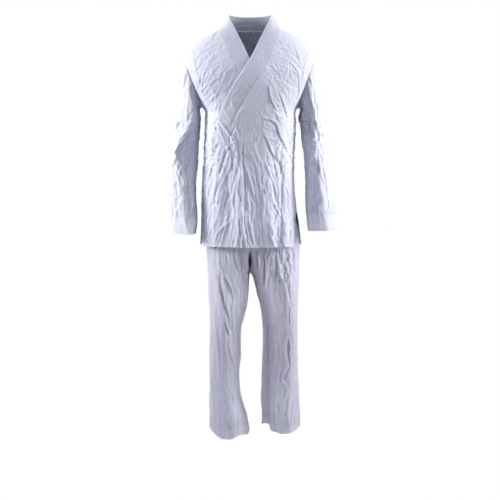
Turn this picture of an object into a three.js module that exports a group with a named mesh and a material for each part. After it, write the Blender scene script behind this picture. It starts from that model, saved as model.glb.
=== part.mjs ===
// Martial arts gi as it is worn: a cross-over jacket with a stitched collar band over
// straight trousers, both hollow and open, in the standing pose with hanging arms.
//
// Millimetres. +Z is up, the front faces -Y, and the wearer's left is at +X.
// The origin is where the shoulders carry the jacket: the middle of the neck base.
// Every piece is a cloth wall. Its middle surface is worked out as a grid of points, pieces
// that are sewn together share the points of their seam, and the wall is raised to both sides.

import * as THREE from "three";

const CLOTH = 1.8;            // wall of a single layer, with its nap
const TURNED_CLOTH = 3;       // turned hems and the folded waistband
const BAND_CLOTH = 3.2;       // collar band, several layers quilted together
const LINING_CLOTH = 1.2;
const SEAM_GAP = 0.3;
const UNDERARM_EASE = 2.4;    // spare gap where sleeve and side seam meet in a narrow fold
const HEM_STEP = 3;           // height over which a turned hem's inner layer ends

const UNDERARM_Z = -256;
const SHOULDER_Z = -84;
const NECK_SEAM_Z = 6;
const NECK_SEAM_X = 100;
const SHOULDER_X = { left: 219, right: 229 };
const UNDERARM_X = { left: 163, right: 161 };
const ARMHOLE_HALF_DEPTH = 76;
const LAPEL_END_Z = -394;
const UNDER_LAPEL_END_Z = -301;
const OVERLAP_LIFT = 6;       // how far the upper front lies off the lower one
const VENT_TOP_Z = -600;
const CROTCH_Z = -815;
const SEAT_RISE = 125;        // height over which the crotch seam opens to the full hip depth
const BACK_EDGE_AT_HIP = 173; // the back lies on the trousers there, at its left edge
const REST_GAP = 0.4;

const BAND_COLUMNS = 3;
const FRONT_COLUMNS = 15;
const NECK_COLUMNS = 12;
const LEG_COLUMNS = 26;

// Plain helpers

const clamp01 = (v) => Math.min(1, Math.max(0, v));
const mix = (a, b, t) => a + (b - a) * t;
const smooth = (from, to, v) => {
  const t = clamp01((v - from) / (to - from));
  return t * t * (3 - 2 * t);
};

// One column of a table, read at a height between its rows along a smooth curve.
// The rows go from low to high in the key column.
function read(table, column, at, key = "z") {
  const last = table.length - 1;
  if (at <= table[0][key]) return table[0][column];
  if (at >= table[last][key]) return table[last][column];
  let k = 0;
  while (table[k + 1][key] < at) k += 1;
  const slope = (n) => {
    const a = table[Math.max(0, n - 1)];
    const b = table[Math.min(last, n + 1)];
    return (b[column] - a[column]) / (b[key] - a[key]);
  };
  const h = table[k + 1][key] - table[k][key];
  const t = (at - table[k][key]) / h;
  const t2 = t * t;
  const t3 = t2 * t;
  return (
    (2 * t3 - 3 * t2 + 1) * table[k][column] +
    (t3 - 2 * t2 + t) * h * slope(k) +
    (3 * t2 - 2 * t3) * table[k + 1][column] +
    (t3 - t2) * h * slope(k + 1)
  );
}

// How far a set of folds lifts the cloth at a place in the front or back view.
// Each fold runs from one point to another and dies out at both ends.
function foldLift(folds, x, z) {
  let lift = 0;
  for (const f of folds) {
    const dx = f.toX - f.fromX;
    const dz = f.toZ - f.fromZ;
    const along = ((x - f.fromX) * dx + (z - f.fromZ) * dz) / (dx * dx + dz * dz);
    if (along <= 0 || along >= 1) continue;
    const away = Math.abs((x - f.fromX) * dz - (z - f.fromZ) * dx) / Math.hypot(dx, dz);
    lift += f.height * Math.sin(Math.PI * along) ** 0.7 * Math.exp(-((away / f.width) ** 2));
  }
  return lift;
}

// The jacket's body

// Half widths and depths of the level sections, from the hem up to the top of the collar.
// front and back are the depths at the middle, square tells how boxed the section is.
const DEPTHS = [
  { z: -727, front: -121, back: 127, square: 2.3 },
  { z: -650, front: -117, back: 124, square: 2.3 },
  { z: -560, front: -111, back: 115, square: 2.3 },
  { z: -440, front: -107, back: 103, square: 2.3 },
  { z: -340, front: -116, back: 104, square: 2.4 },
  { z: -256, front: -126, back: 111, square: 2.5 },
  { z: -170, front: -125, back: 115, square: 2.6 },
  { z: -98, front: -103, back: 109, square: 2.5 },
  { z: -50, front: -78, back: 96, square: 2.4 },
  { z: 6, front: -50, back: 76, square: 2.3 },
  { z: 55, front: -40, back: 68, square: 2.2 },
];

// Side edges below the arms. Under the vents the front and back edges part.
const SIDES = [
  { z: -727, frontR: 164, frontRY: -22, frontL: 151, frontLY: -60, backR: 171, backL: 176, backY: 4 },
  { z: -700, frontR: 163, frontRY: -20, frontL: 151, frontLY: -56, backR: 169, backL: BACK_EDGE_AT_HIP, backY: 4 },
  { z: -650, frontR: 164, frontRY: -12, frontL: 151, frontLY: -41, backR: 166, backL: 166, backY: 4 },
  { z: -600, frontR: 165, frontRY: 4, frontL: 157, frontLY: 4, backR: 165, backL: 157, backY: 4 },
  { z: -530, frontR: 164, frontRY: 4, frontL: 151, frontLY: 4, backR: 164, backL: 151, backY: 4 },
  { z: -440, frontR: 155, frontRY: 4, frontL: 147, frontLY: 4, backR: 155, backL: 147, backY: 4 },
  { z: -360, frontR: 153, frontRY: 4, frontL: 153, frontLY: 4, backR: 153, backL: 153, backY: 4 },
  { z: -300, frontR: 152, frontRY: 4, frontL: 155, frontLY: 4, backR: 152, backL: 155, backY: 4 },
  { z: -272, frontR: 152, frontRY: 4, frontL: 154, frontLY: 4, backR: 152, backL: 154, backY: 4 },
  { z: -256, frontR: 161, frontRY: 4, frontL: 163, frontLY: 4, backR: 161, backL: 163, backY: 4 },
];

// The shoulder seam from the arm up to the neck, then the standing collar. share is the
// part of the way from the neck seam to the shoulder point.
const RIDGE = [
  { z: -84, share: 1 },
  { z: -54, share: 0.79 },
  { z: -33, share: 0.57 },
  { z: -17, share: 0.36 },
  { z: -6, share: 0.17 },
  { z: 6, share: 0 },
];
const COLLAR_TOP_X = 74;
const COLLAR_TOP_Z = 55;
const RIDGE_Y = [
  { z: -256, y: 4 },
  { z: -84, y: 9 },
  { z: 6, y: 12 },
  { z: 55, y: 16 },
];

// Front edge of the upper front: the collar seam down to the lapel's end, then the free edge.
const OVER_EDGE = [
  { z: -727, x: -18 },
  { z: -624, x: -24 },
  { z: -470, x: -36 },
  { z: -420, x: -46 },
  { z: -394, x: -62 },
  { z: -336, x: -63 },
  { z: -270, x: -37 },
  { z: -216, x: -9 },
  { z: -130, x: 46 },
  { z: -80, x: 67 },
  { z: -27, x: 88 },
  { z: 6, x: 100 },
];

// How far across the lower front and its band reach under the upper front.
const UNDER_REACH = [
  { z: -727, x: 26 },
  { z: -470, x: 48 },
  { z: -400, x: 66 },
  { z: -340, x: 100 },
  { z: -290, x: 112 },
  { z: -238, x: 92 },
  { z: -186, x: 62 },
  { z: -99, x: 8 },
  { z: -51, x: -18 },
];

// The lower front's edge is hidden under the upper one from the chest down.
const UNDER_EDGE = [
  { z: -727, x: 22 },
  { z: -560, x: 34 },
  { z: -400, x: 44 },
  { z: -301, x: 42 },
  { z: -216, x: 9 },
  { z: -130, x: -46 },
  { z: -80, x: -67 },
  { z: -27, x: -88 },
  { z: 6, x: -100 },
];

// Inner edge of the collar band, for each height of its seam, on the wearer's left.
const BAND_EDGE = [
  { z: -394, x: -106, up: -379 },
  { z: -370, x: -111, up: -345 },
  { z: -336, x: -106, up: -303 },
  { z: -270, x: -80, up: -238 },
  { z: -216, x: -52, up: -186 },
  { z: -130, x: 1, up: -99 },
  { z: -80, x: 24, up: -51 },
  { z: -27, x: 50, up: 3 },
  { z: -8, x: 63, up: 30 },
  { z: 6, x: 74, up: 55 },
];

// Rows of the body: level heights below the arms, then shares of the way from the underarm
// to the shoulder seam. The chest lining starts at one of them.
const LOW_ROWS = [-727, -700, -697, -650, -600, -530, -462, -394, -336, -300, -272];
const JACKET_HEM_ROW = 1;
const HIGH_ROWS = [0, 0.012, 0.05, 0.14, 0.27, 0.415, 0.55, 0.68, 0.8, 0.9, 0.97, 1];
const LINING_ROW = 5;

// Folds that show on the front, in the front view, and similar ones on the back.
const FRONT_FOLDS = [
  { fromX: -52, fromZ: -400, toX: -12, toZ: -860, height: 5.5, width: 15 },
  { fromX: 24, fromZ: -430, toX: 30, toZ: -900, height: -5, width: 26 },
  { fromX: 62, fromZ: -470, toX: 78, toZ: -900, height: 6, width: 18 },
  { fromX: 70, fromZ: -380, toX: 104, toZ: -860, height: -5, width: 15 },
  { fromX: 88, fromZ: -250, toX: 140, toZ: -620, height: 5, width: 15 },
  { fromX: 108, fromZ: -540, toX: 128, toZ: -900, height: 5, width: 14 },
  { fromX: -70, fromZ: -400, toX: -84, toZ: -900, height: -5, width: 20 },
  { fromX: -88, fromZ: -390, toX: -128, toZ: -760, height: 5, width: 18 },
  { fromX: -95, fromZ: -230, toX: -128, toZ: -400, height: 4, width: 16 },
  { fromX: 100, fromZ: -150, toX: 150, toZ: -300, height: 4, width: 18 },
];
const BACK_FOLDS = [
  { fromX: -8, fromZ: -330, toX: -14, toZ: -900, height: -7, width: 22 },
  { fromX: 48, fromZ: -300, toX: 40, toZ: -860, height: 6, width: 20 },
  { fromX: -58, fromZ: -280, toX: -50, toZ: -820, height: 6, width: 22 },
  { fromX: 92, fromZ: -300, toX: 84, toZ: -900, height: -5, width: 18 },
  { fromX: -104, fromZ: -320, toX: -98, toZ: -900, height: -5, width: 18 },
  { fromX: 130, fromZ: -260, toX: 60, toZ: -420, height: 4, width: 18 },
  { fromX: -130, fromZ: -260, toX: -66, toZ: -440, height: 4, width: 18 },
];

const sideName = (x) => (x >= 0 ? "left" : "right");

// Place of the armhole seam at a height: its distance from the middle and its half depth.
function armhole(side, z) {
  const share = clamp01((z - UNDERARM_Z) / (SHOULDER_Z - UNDERARM_Z));
  const turn = 2 * share - 1;
  return {
    x: mix(UNDERARM_X[side], SHOULDER_X[side], share),
    depth: ARMHOLE_HALF_DEPTH * Math.sqrt(Math.max(0, 1 - turn * turn)),
  };
}

// A level section of the jacket on one side of one face, as a quarter of a boxed ellipse.
function section(z, side, face) {
  const square = read(DEPTHS, "square", z);
  const middle = read(DEPTHS, face < 0 ? "front" : "back", z);
  const letter = side === "left" ? "L" : "R";
  let half;
  let y;
  if (z <= UNDERARM_Z) {
    half = read(SIDES, (face < 0 ? "front" : "back") + letter, z);
    y = read(SIDES, face < 0 ? `front${letter}Y` : "backY", z);
  } else if (z <= SHOULDER_Z) {
    const hole = armhole(side, z);
    y = read(RIDGE_Y, "y", z);
    const reach = clamp01(hole.depth / Math.abs(middle - y));
    half = hole.x / (1 - reach ** square) ** (1 / square);
  } else if (z <= NECK_SEAM_Z) {
    half = mix(NECK_SEAM_X, SHOULDER_X[side], read(RIDGE, "share", z));
    y = read(RIDGE_Y, "y", z);
  } else {
    const rise = (z - NECK_SEAM_Z) / (COLLAR_TOP_Z - NECK_SEAM_Z);
    half = mix(NECK_SEAM_X, COLLAR_TOP_X, rise);
    y = read(RIDGE_Y, "y", z);
  }
  return { half, y, depth: Math.abs(middle - y), square };
}

// A point of the body, at x in a level section, moved out along the section's normal.
function bodyPoint(x, z, face, lift = 0) {
  const side = sideName(x);
  const s = section(z, side, face);
  const across = clamp01(Math.abs(x) / s.half);
  const out = (1 - across ** s.square) ** (1 / s.square);
  const nx = (across ** (s.square - 1) / s.half) * Math.sign(x || 1);
  const ny = (face * out ** (s.square - 1)) / s.depth;
  const size = Math.hypot(nx, ny);
  return new THREE.Vector3(
    Math.sign(x || 1) * across * s.half + (nx / size) * lift,
    s.y + face * s.depth * out + (ny / size) * lift,
    z,
  );
}

// The upper front lies off the lower one where they overlap, and the lower one sinks a little.
function overLift(x, z) {
  const reach = read(UNDER_REACH, "x", z);
  return OVERLAP_LIFT * smooth(-52, -112, z) * (1 - smooth(reach, reach + 44, x));
}
const underLift = (x, z) => -1.2 * smooth(-60, -120, z) * smooth(-90, -50, x);

// Heights of the top boundary: shoulder seams, and the neck seam between them.
function topZ(x) {
  const side = sideName(x);
  if (Math.abs(x) <= NECK_SEAM_X) return NECK_SEAM_Z - 3 * Math.cos((x / NECK_SEAM_X) * (Math.PI / 2));
  const share = (Math.abs(x) - NECK_SEAM_X) / (SHOULDER_X[side] - NECK_SEAM_X);
  let low = SHOULDER_Z;
  let high = NECK_SEAM_Z;
  for (let n = 0; n < 40; n += 1) {
    const z = (low + high) / 2;
    if (read(RIDGE, "share", z) > share) low = z;
    else high = z;
  }
  return (low + high) / 2;
}

// Spreads columns evenly along a finely sampled row, at the given shares of its length.
function spread(fine, shares) {
  const run = [0];
  for (let k = 1; k < fine.length; k += 1) run.push(run[k - 1] + fine[k].distanceTo(fine[k - 1]));
  const total = run[run.length - 1];
  let k = 0;
  return shares.map((share) => {
    const goal = share * total;
    while (k < fine.length - 2 && run[k + 1] < goal) k += 1;
    return fine[k].clone().lerp(fine[k + 1], clamp01((goal - run[k]) / (run[k + 1] - run[k])));
  });
}

const FINE = 160;

// One row of a front or of the back. Low rows are level. High rows climb towards the top
// boundary, and end on the armhole seams.
function bodyRow(row, startX, endX, face, shares, liftAt) {
  const fine = [];
  for (let k = 0; k <= FINE; k += 1) {
    // samples crowd at both ends, where the section turns back
    const t = 0.5 - 0.5 * Math.cos((Math.PI * k) / FINE);
    let x;
    let z;
    if (row.level !== undefined) {
      z = row.level;
      x = mix(startX, endX, t);
    } else {
      z = mix(UNDERARM_Z, topZ(mix(row.topStart, row.topEnd, t)), row.share);
      x = mix(startX, endX, t);
    }
    fine.push(bodyPoint(x, z, face, liftAt(x, z)));
  }
  return spread(fine, shares);
}

const even = (count) => Array.from({ length: count + 1 }, (_, k) => k / count);

// A front panel. sign is +1 for the wearer's left, which lies on top.
function frontGrid(sign) {
  const side = sign > 0 ? "left" : "right";
  const edge = sign > 0 ? OVER_EDGE : UNDER_EDGE;
  const layer = sign > 0 ? overLift : underLift;
  const fade = (x, z) => 1 - smooth(0.8, 1, Math.abs(x) / section(z, sideName(x), -1).half);
  const liftAt = (x, z) => {
    const shoulder = 1 - smooth(-130, -90, z);
    return layer(x, z) + foldLift(FRONT_FOLDS, x, z) * fade(x, z) * shoulder;
  };
  const shares = even(FRONT_COLUMNS);
  const rows = LOW_ROWS.map((z) => {
    const end = sign * section(z, side, -1).half;
    return bodyRow({ level: z }, read(edge, "x", z), end, -1, shares, liftAt);
  });
  for (const share of HIGH_ROWS) {
    const startZ = mix(UNDERARM_Z, NECK_SEAM_Z, share);
    const endZ = mix(UNDERARM_Z, SHOULDER_Z, share);
    const row = { share, topStart: sign * NECK_SEAM_X, topEnd: sign * SHOULDER_X[side] };
    rows.push(bodyRow(row, read(edge, "x", startZ), sign * armhole(side, endZ).x, -1, shares, liftAt));
  }
  return rows;
}

// The back in one piece, from one side seam to the other.
function backGrid() {
  const fade = (x, z) => 1 - smooth(0.8, 1, Math.abs(x) / section(z, sideName(x), 1).half);
  const liftAt = (x, z) =>
    foldLift(BACK_FOLDS, x, z) * fade(x, z) * (1 - smooth(-130, -90, z));
  const topFine = [];
  for (let k = 0; k <= FINE; k += 1) {
    const x = mix(-SHOULDER_X.right, SHOULDER_X.left, k / FINE);
    topFine.push(bodyPoint(x, topZ(x), 1));
  }
  const lengthTo = (limit) => {
    let run = 0;
    for (let k = 1; k <= FINE && topFine[k].x <= limit; k += 1) run += topFine[k].distanceTo(topFine[k - 1]);
    return run;
  };
  const total = lengthTo(Infinity);
  const a = lengthTo(-NECK_SEAM_X) / total;
  const b = lengthTo(NECK_SEAM_X) / total;
  const shares = [
    ...even(FRONT_COLUMNS).map((t) => mix(0, a, t)),
    ...even(NECK_COLUMNS).slice(1).map((t) => mix(a, b, t)),
    ...even(FRONT_COLUMNS).slice(1).map((t) => mix(b, 1, t)),
  ];
  const rows = LOW_ROWS.map((z) =>
    bodyRow({ level: z }, -section(z, "right", 1).half, section(z, "left", 1).half, 1, shares, liftAt),
  );
  for (const share of HIGH_ROWS) {
    const endZ = mix(UNDERARM_Z, SHOULDER_Z, share);
    const row = { share, topStart: -SHOULDER_X.right, topEnd: SHOULDER_X.left };
    rows.push(bodyRow(row, -armhole("right", endZ).x, armhole("left", endZ).x, 1, shares, liftAt));
  }
  return rows;
}

// The shoulder and neck seams are sewn: the back takes the fronts' own points there.
function sewBody(back, left, right) {
  const top = back.length - 1;
  for (let k = 0; k <= FRONT_COLUMNS; k += 1) {
    back[top][FRONT_COLUMNS - k].copy(right[top][k]);
    back[top][FRONT_COLUMNS + NECK_COLUMNS + k].copy(left[top][k]);
  }
  const last = back[0].length - 1;
  for (let r = 0; r <= top; r += 1) {
    const vent = r < LOW_ROWS.length && LOW_ROWS[r] < VENT_TOP_Z;
    const onArmhole = r > LOW_ROWS.length && r < top;
    if (vent || onArmhole) continue;
    back[r][0].copy(right[r][FRONT_COLUMNS]);
    back[r][last].copy(left[r][FRONT_COLUMNS]);
  }
}

// Collar

// The band starts at the upper lapel's end, goes up its seam, round the neck and down the
// hidden side. Every station is a row of points from the seam to the free edge.
function collarGrid(back, left, right) {
  const stations = [];
  const steps = even(BAND_COLUMNS);
  const onFront = (seam, sign, liftAt) => {
    const edgeX = sign * read(BAND_EDGE, "x", seam.z);
    const edgeZ = read(BAND_EDGE, "up", seam.z);
    return steps.map((t) => {
      if (t === 0) return seam.clone();
      const x = mix(seam.x, edgeX, t);
      const z = mix(seam.z, edgeZ, t);
      return bodyPoint(x, z, -1, liftAt(x, z));
    });
  };
  const first = LOW_ROWS.indexOf(LAPEL_END_Z);
  for (let r = first; r < left.length; r += 1) stations.push(onFront(left[r][0], 1, overLift));
  const top = back[back.length - 1];
  for (let k = NECK_COLUMNS - 1; k > 0; k -= 1) {
    const seam = top[FRONT_COLUMNS + k];
    const s = section(seam.z, sideName(seam.x), 1);
    const share = seam.x / s.half;
    stations.push(
      steps.map((t) => {
        if (t === 0) return seam.clone();
        const z = mix(seam.z, COLLAR_TOP_Z - 4 * Math.cos(share * (Math.PI / 2)), t);
        return bodyPoint(share * section(z, sideName(seam.x), 1).half, z, 1);
      }),
    );
  }
  const end = LOW_ROWS.findIndex((z) => z > UNDER_LAPEL_END_Z);
  for (let r = right.length - 1; r >= end; r -= 1) stations.push(onFront(right[r][0], -1, underLift));
  return stations;
}

// The shoulder lining is cut like the front's top and lies behind it, just inside its seams.
const LINING_SETBACK = 7;
const LINING_GAP = 0.9;
function liningGrid(front, normalAt) {
  const behind = CLOTH / 2 + LINING_GAP + LINING_CLOTH / 2;
  const rows = front.slice(LOW_ROWS.length + LINING_ROW);
  const top = rows.length - 1;
  const toward = (from, to) => to.clone().sub(from).normalize().multiplyScalar(LINING_SETBACK);
  return rows.map((row, r) =>
    row.map((p, c) => {
      const point = p.clone().addScaledVector(normalAt(p), -behind);
      if (r === top) point.add(toward(p, rows[top - 1][c]));
      if (c === 0) point.add(toward(p, row[1]));
      if (c === FRONT_COLUMNS) point.add(toward(p, row[c - 1]));
      return point;
    }),
  );
}

// Sleeves

// Rings through an outer and an inner point in the front view. y is the ring's middle,
// depth its half depth, crease shifts the front crease, and fold tells how sharp it is.
// The hem is turned up at ring 11.
const SLEEVE_RIGHT = [
  { ring: 1, outX: 232, outZ: -120, inX: 172, inZ: -262, y: 6, depth: 77, crease: 10, fold: 0.1 },
  { ring: 2, outX: 234, outZ: -168, inX: 174, inZ: -274, y: 8, depth: 78, crease: 14, fold: 0.2 },
  { ring: 3, outX: 237, outZ: -222, inX: 171, inZ: -292, y: 10, depth: 77, crease: 18, fold: 0.35 },
  { ring: 4, outX: 249, outZ: -274, inX: 172, inZ: -318, y: 12, depth: 75, crease: 18, fold: 0.45 },
  { ring: 5, outX: 258, outZ: -326, inX: 174, inZ: -350, y: 13, depth: 72, crease: 8, fold: 0.5 },
  { ring: 6, outX: 263, outZ: -372, inX: 176, inZ: -384, y: 14, depth: 70, crease: -16, fold: 0.55 },
  { ring: 7, outX: 267, outZ: -410, inX: 178, inZ: -414, y: 13, depth: 69, crease: -30, fold: 0.6 },
  { ring: 8, outX: 270, outZ: -452, inX: 181, inZ: -453, y: 9, depth: 69, crease: -20, fold: 0.55 },
  { ring: 9, outX: 272, outZ: -506, inX: 186, inZ: -506, y: 2, depth: 69, crease: -3, fold: 0.5 },
  { ring: 10, outX: 272, outZ: -560, inX: 186, inZ: -560, y: -8, depth: 68, crease: 2, fold: 0.5 },
  { ring: 11, outX: 271, outZ: -614, inX: 182, inZ: -614, y: -19, depth: 67, crease: 4, fold: 0.5 },
  { ring: 12, outX: 270, outZ: -648, inX: 181, inZ: -648, y: -27, depth: 66, crease: 14, fold: 0.55 },
  { ring: 13, outX: 269, outZ: -684, inX: 186, inZ: -686, y: -34, depth: 65, crease: 26, fold: 0.6 },
];
const SLEEVE_LEFT = [
  { ring: 1, outX: 222, outZ: -120, inX: 174, inZ: -262, y: 6, depth: 77, crease: 0, fold: 0.1 },
  { ring: 2, outX: 228, outZ: -168, inX: 175, inZ: -274, y: 8, depth: 78, crease: 0, fold: 0.2 },
  { ring: 3, outX: 234, outZ: -222, inX: 170, inZ: -294, y: 10, depth: 77, crease: -6, fold: 0.35 },
  { ring: 4, outX: 242, outZ: -274, inX: 173, inZ: -320, y: 12, depth: 75, crease: -10, fold: 0.45 },
  { ring: 5, outX: 252, outZ: -326, inX: 177, inZ: -352, y: 13, depth: 73, crease: -2, fold: 0.5 },
  { ring: 6, outX: 260, outZ: -372, inX: 182, inZ: -386, y: 14, depth: 71, crease: 8, fold: 0.55 },
  { ring: 7, outX: 265, outZ: -414, inX: 186, inZ: -418, y: 13, depth: 70, crease: 4, fold: 0.55 },
  { ring: 8, outX: 269, outZ: -456, inX: 189, inZ: -457, y: 9, depth: 70, crease: -2, fold: 0.55 },
  { ring: 9, outX: 273, outZ: -508, inX: 192, inZ: -508, y: 1, depth: 70, crease: -4, fold: 0.5 },
  { ring: 10, outX: 280, outZ: -560, inX: 192, inZ: -560, y: -9, depth: 69, crease: -5, fold: 0.5 },
  { ring: 11, outX: 288, outZ: -610, inX: 192, inZ: -610, y: -20, depth: 68, crease: -9, fold: 0.5 },
  { ring: 12, outX: 293, outZ: -642, inX: 195, inZ: -643, y: -28, depth: 67, crease: -8, fold: 0.55 },
  { ring: 13, outX: 299, outZ: -672, inX: 198, inZ: -676, y: -35, depth: 66, crease: -7, fold: 0.6 },
];
// Folds round a tube: an angle at the top and at the bottom, counted from the inner side
// over the front, between two heights.
const SLEEVE_FOLDS = [
  { topTurn: 140, endTurn: 118, top: -110, end: -330, height: 5, spread: 16 },
  { topTurn: 60, endTurn: 100, top: -250, end: -420, height: -5, spread: 18 },
  { topTurn: 165, endTurn: 130, top: -300, end: -470, height: 4, spread: 18 },
  { topTurn: 205, endTurn: 240, top: -330, end: -500, height: 5, spread: 20 },
  { topTurn: 250, endTurn: 215, top: -130, end: -360, height: 5, spread: 20 },
  { topTurn: 300, endTurn: 285, top: -300, end: -520, height: -5, spread: 20 },
  { topTurn: 130, endTurn: 140, top: -430, end: -640, height: 4, spread: 16 },
  { topTurn: 250, endTurn: 262, top: -420, end: -640, height: 4, spread: 18 },
];

function turnLift(folds, degrees, z) {
  let lift = 0;
  for (const f of folds) {
    const along = (z - f.top) / (f.end - f.top);
    if (along <= 0 || along >= 1) continue;
    let away = Math.abs(degrees - mix(f.topTurn, f.endTurn, along)) % 360;
    if (away > 180) away = 360 - away;
    lift += f.height * Math.sin(Math.PI * along) ** 0.7 * Math.exp(-((away / f.spread) ** 2));
  }
  return lift;
}

const CUFF_RING = 11;

// A row just above a hem's top row, where its inner layer ends.
const stepRow = (row, above) =>
  row.map((p, k) => p.clone().lerp(above[k], HEM_STEP / p.distanceTo(above[k])));

// A point of a flattened tube: an ellipse whose front and back are drawn to a soft crease.
function tubePoint(ring, sign, turn, extra) {
  const middle = new THREE.Vector3((sign * (ring.outX + ring.inX)) / 2, ring.y, (ring.outZ + ring.inZ) / 2);
  const inward = new THREE.Vector3(sign * ring.inX, ring.y, ring.inZ).sub(middle);
  const half = inward.length();
  inward.normalize();
  const c = Math.cos(turn);
  const s = Math.sin(turn);
  const quarter = Math.asin(Math.min(1, Math.abs(s))) / (Math.PI / 2);
  const sharp = ring.fold * s * s;
  const across = mix(c, Math.sign(c) * (1 - quarter), sharp);
  const deep = mix(s, Math.sign(s) * quarter, sharp);
  const shift = s > 0 ? ring.crease * s ** 3 : 0.3 * ring.crease * -s;
  const reach = 1 + extra / Math.hypot(half * c, ring.depth * s);
  return middle
    .addScaledVector(inward, half * across * reach + shift)
    .add(new THREE.Vector3(0, -ring.depth * deep * reach, 0));
}

// Armhole points in order: underarm, up the front to the shoulder, and down the back.
function armholeRing(front, back, backColumn) {
  const base = LOW_ROWS.length;
  const top = front.length - 1;
  const ring = [];
  for (let r = base; r <= top; r += 1) ring.push(front[r][FRONT_COLUMNS].clone());
  for (let r = top - 1; r > base; r -= 1) ring.push(back[r][backColumn].clone());
  return ring;
}

// The sleeve from its cuff up to the armhole.
function sleeveGrid(front, back, backColumn, sign, table) {
  const first = armholeRing(front, back, backColumn);
  const count = first.length;
  const centre = first.reduce((sum, p) => sum.add(p), new THREE.Vector3()).divideScalar(count);
  const up = first[count / 2].clone().sub(first[0]).normalize();
  const turns = first.map((p, k) => {
    const v = p.clone().sub(centre);
    const turn = Math.atan2(-v.y, -v.dot(up));
    return k > count / 4 && turn < 0 ? turn + 2 * Math.PI : turn;
  });
  const rings = table.map((row) => {
    const settled = smooth(0, 5, row.ring);
    return turns.map((turn, k) => {
      const at = mix(turn, (2 * Math.PI * k) / count, settled);
      const z = mix(row.inZ, row.outZ, 0.5 - 0.5 * Math.cos(at));
      return tubePoint(row, sign, at, turnLift(SLEEVE_FOLDS, (at * 180) / Math.PI, z));
    });
  });
  rings.splice(CUFF_RING - 1, 0, stepRow(rings[CUFF_RING - 1], rings[CUFF_RING - 2]));
  return [first, ...rings].reverse();
}

// Trousers

// Outer and inner silhouettes of each leg, the middle and half depth, and the crease.
const LEG_RIGHT = [
  { z: -1374, out: 139, in: 4, y: 2, depth: 90, crease: 8, fold: 0.35 },
  { z: -1330, out: 141, in: 10, y: 3, depth: 88, crease: 8, fold: 0.35 },
  { z: -1265, out: 141, in: 27, y: 5, depth: 84, crease: 6, fold: 0.35 },
  { z: -1190, out: 139, in: 38, y: 6, depth: 81, crease: 2, fold: 0.3 },
  { z: -1110, out: 139, in: 32, y: 2, depth: 82, crease: -2, fold: 0.3 },
  { z: -1012, out: 138, in: 29, y: -4, depth: 84, crease: -4, fold: 0.3 },
  { z: -945, out: 140, in: 10, y: -2, depth: 90, crease: -2, fold: 0.2 },
  { z: -885, out: 143, in: 3, y: 3, depth: 95, crease: 0, fold: 0.1 },
  { z: -840, out: 145, in: 1.6, y: 5, depth: 97, crease: 0, fold: 0 },
  { z: -815, out: 147, in: 0, y: 6, depth: 97, crease: 0, fold: 0 },
];
const LEG_LEFT = [
  { z: -1358, out: 173, in: 42, y: 2, depth: 86, crease: -26, fold: 0.5 },
  { z: -1320, out: 173, in: 40, y: 3, depth: 85, crease: -22, fold: 0.5 },
  { z: -1265, out: 171, in: 36, y: 5, depth: 83, crease: -18, fold: 0.5 },
  { z: -1190, out: 167, in: 38, y: 6, depth: 81, crease: -26, fold: 0.5 },
  { z: -1110, out: 163, in: 42, y: 2, depth: 82, crease: -30, fold: 0.5 },
  { z: -1012, out: 163, in: 41, y: -4, depth: 85, crease: -30, fold: 0.45 },
  { z: -945, out: 164, in: 34, y: -2, depth: 90, crease: -26, fold: 0.35 },
  { z: -885, out: 167, in: 20, y: 3, depth: 95, crease: -18, fold: 0.2 },
  { z: -840, out: 169, in: 8, y: 5, depth: 97, crease: -8, fold: 0.1 },
  { z: -815, out: 170, in: 0, y: 6, depth: 97, crease: 0, fold: 0 },
];
// Hips and waist, hidden under the jacket from its hem up.
const HIPS = [
  { z: -815, right: 149, left: 171, y: 4, front: -98, back: 112 },
  { z: -735, right: 151, left: 171, y: 4, front: -92, back: 112 },
  { z: -700, right: 151, left: BACK_EDGE_AT_HIP - TURNED_CLOTH - REST_GAP, y: 4, front: -92, back: 111 },
  { z: -650, right: 150, left: 160, y: 4, front: -92, back: 108 },
  { z: -600, right: 147, left: 144, y: 4, front: -92, back: 102 },
  { z: -530, right: 138, left: 136, y: 4, front: -90, back: 90 },
  { z: -490, right: 131, left: 130, y: 4, front: -86, back: 84 },
];
// The first rows are the turned hem, up to LEG_HEM_ROW. The lowest one is shaped by the tables.
const LEG_ROWS = [
  -1347, -1316, -1313, -1265, -1215, -1160, -1110, -1060, -1012, -975, -935, -890, -850, -830, -815,
];
const LEG_HEM_ROW = 2;
const HIP_ROWS = [-810, -799, -780, -735, -700, -650, -600, -530];
const WAIST_ROWS = [-530, -490];

const LEG_FOLDS_RIGHT = [
  { topTurn: 128, endTurn: 66, top: -700, end: -1180, height: 6, spread: 15 },
  { topTurn: 98, endTurn: 52, top: -720, end: -1080, height: -5, spread: 15 },
  { topTurn: 60, endTurn: 44, top: -700, end: -960, height: 5, spread: 13 },
  { topTurn: 80, endTurn: 74, top: -1080, end: -1460, height: 6, spread: 18 },
  { topTurn: 285, endTurn: 262, top: -800, end: -1240, height: 6, spread: 20 },
  { topTurn: 240, endTurn: 250, top: -820, end: -1460, height: -5, spread: 18 },
  { topTurn: 330, endTurn: 318, top: -860, end: -1200, height: 5, spread: 18 },
];
const LEG_FOLDS_LEFT = [
  { topTurn: 118, endTurn: 124, top: -700, end: -1200, height: 6, spread: 12 },
  { topTurn: 90, endTurn: 96, top: -700, end: -1010, height: -5, spread: 14 },
  { topTurn: 64, endTurn: 60, top: -720, end: -1120, height: 5, spread: 14 },
  { topTurn: 40, endTurn: 52, top: -1060, end: -1460, height: -5, spread: 16 },
  { topTurn: 280, endTurn: 262, top: -800, end: -1260, height: 6, spread: 20 },
  { topTurn: 236, endTurn: 244, top: -820, end: -1460, height: -5, spread: 18 },
  { topTurn: 322, endTurn: 318, top: -860, end: -1200, height: 5, spread: 18 },
];

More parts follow.
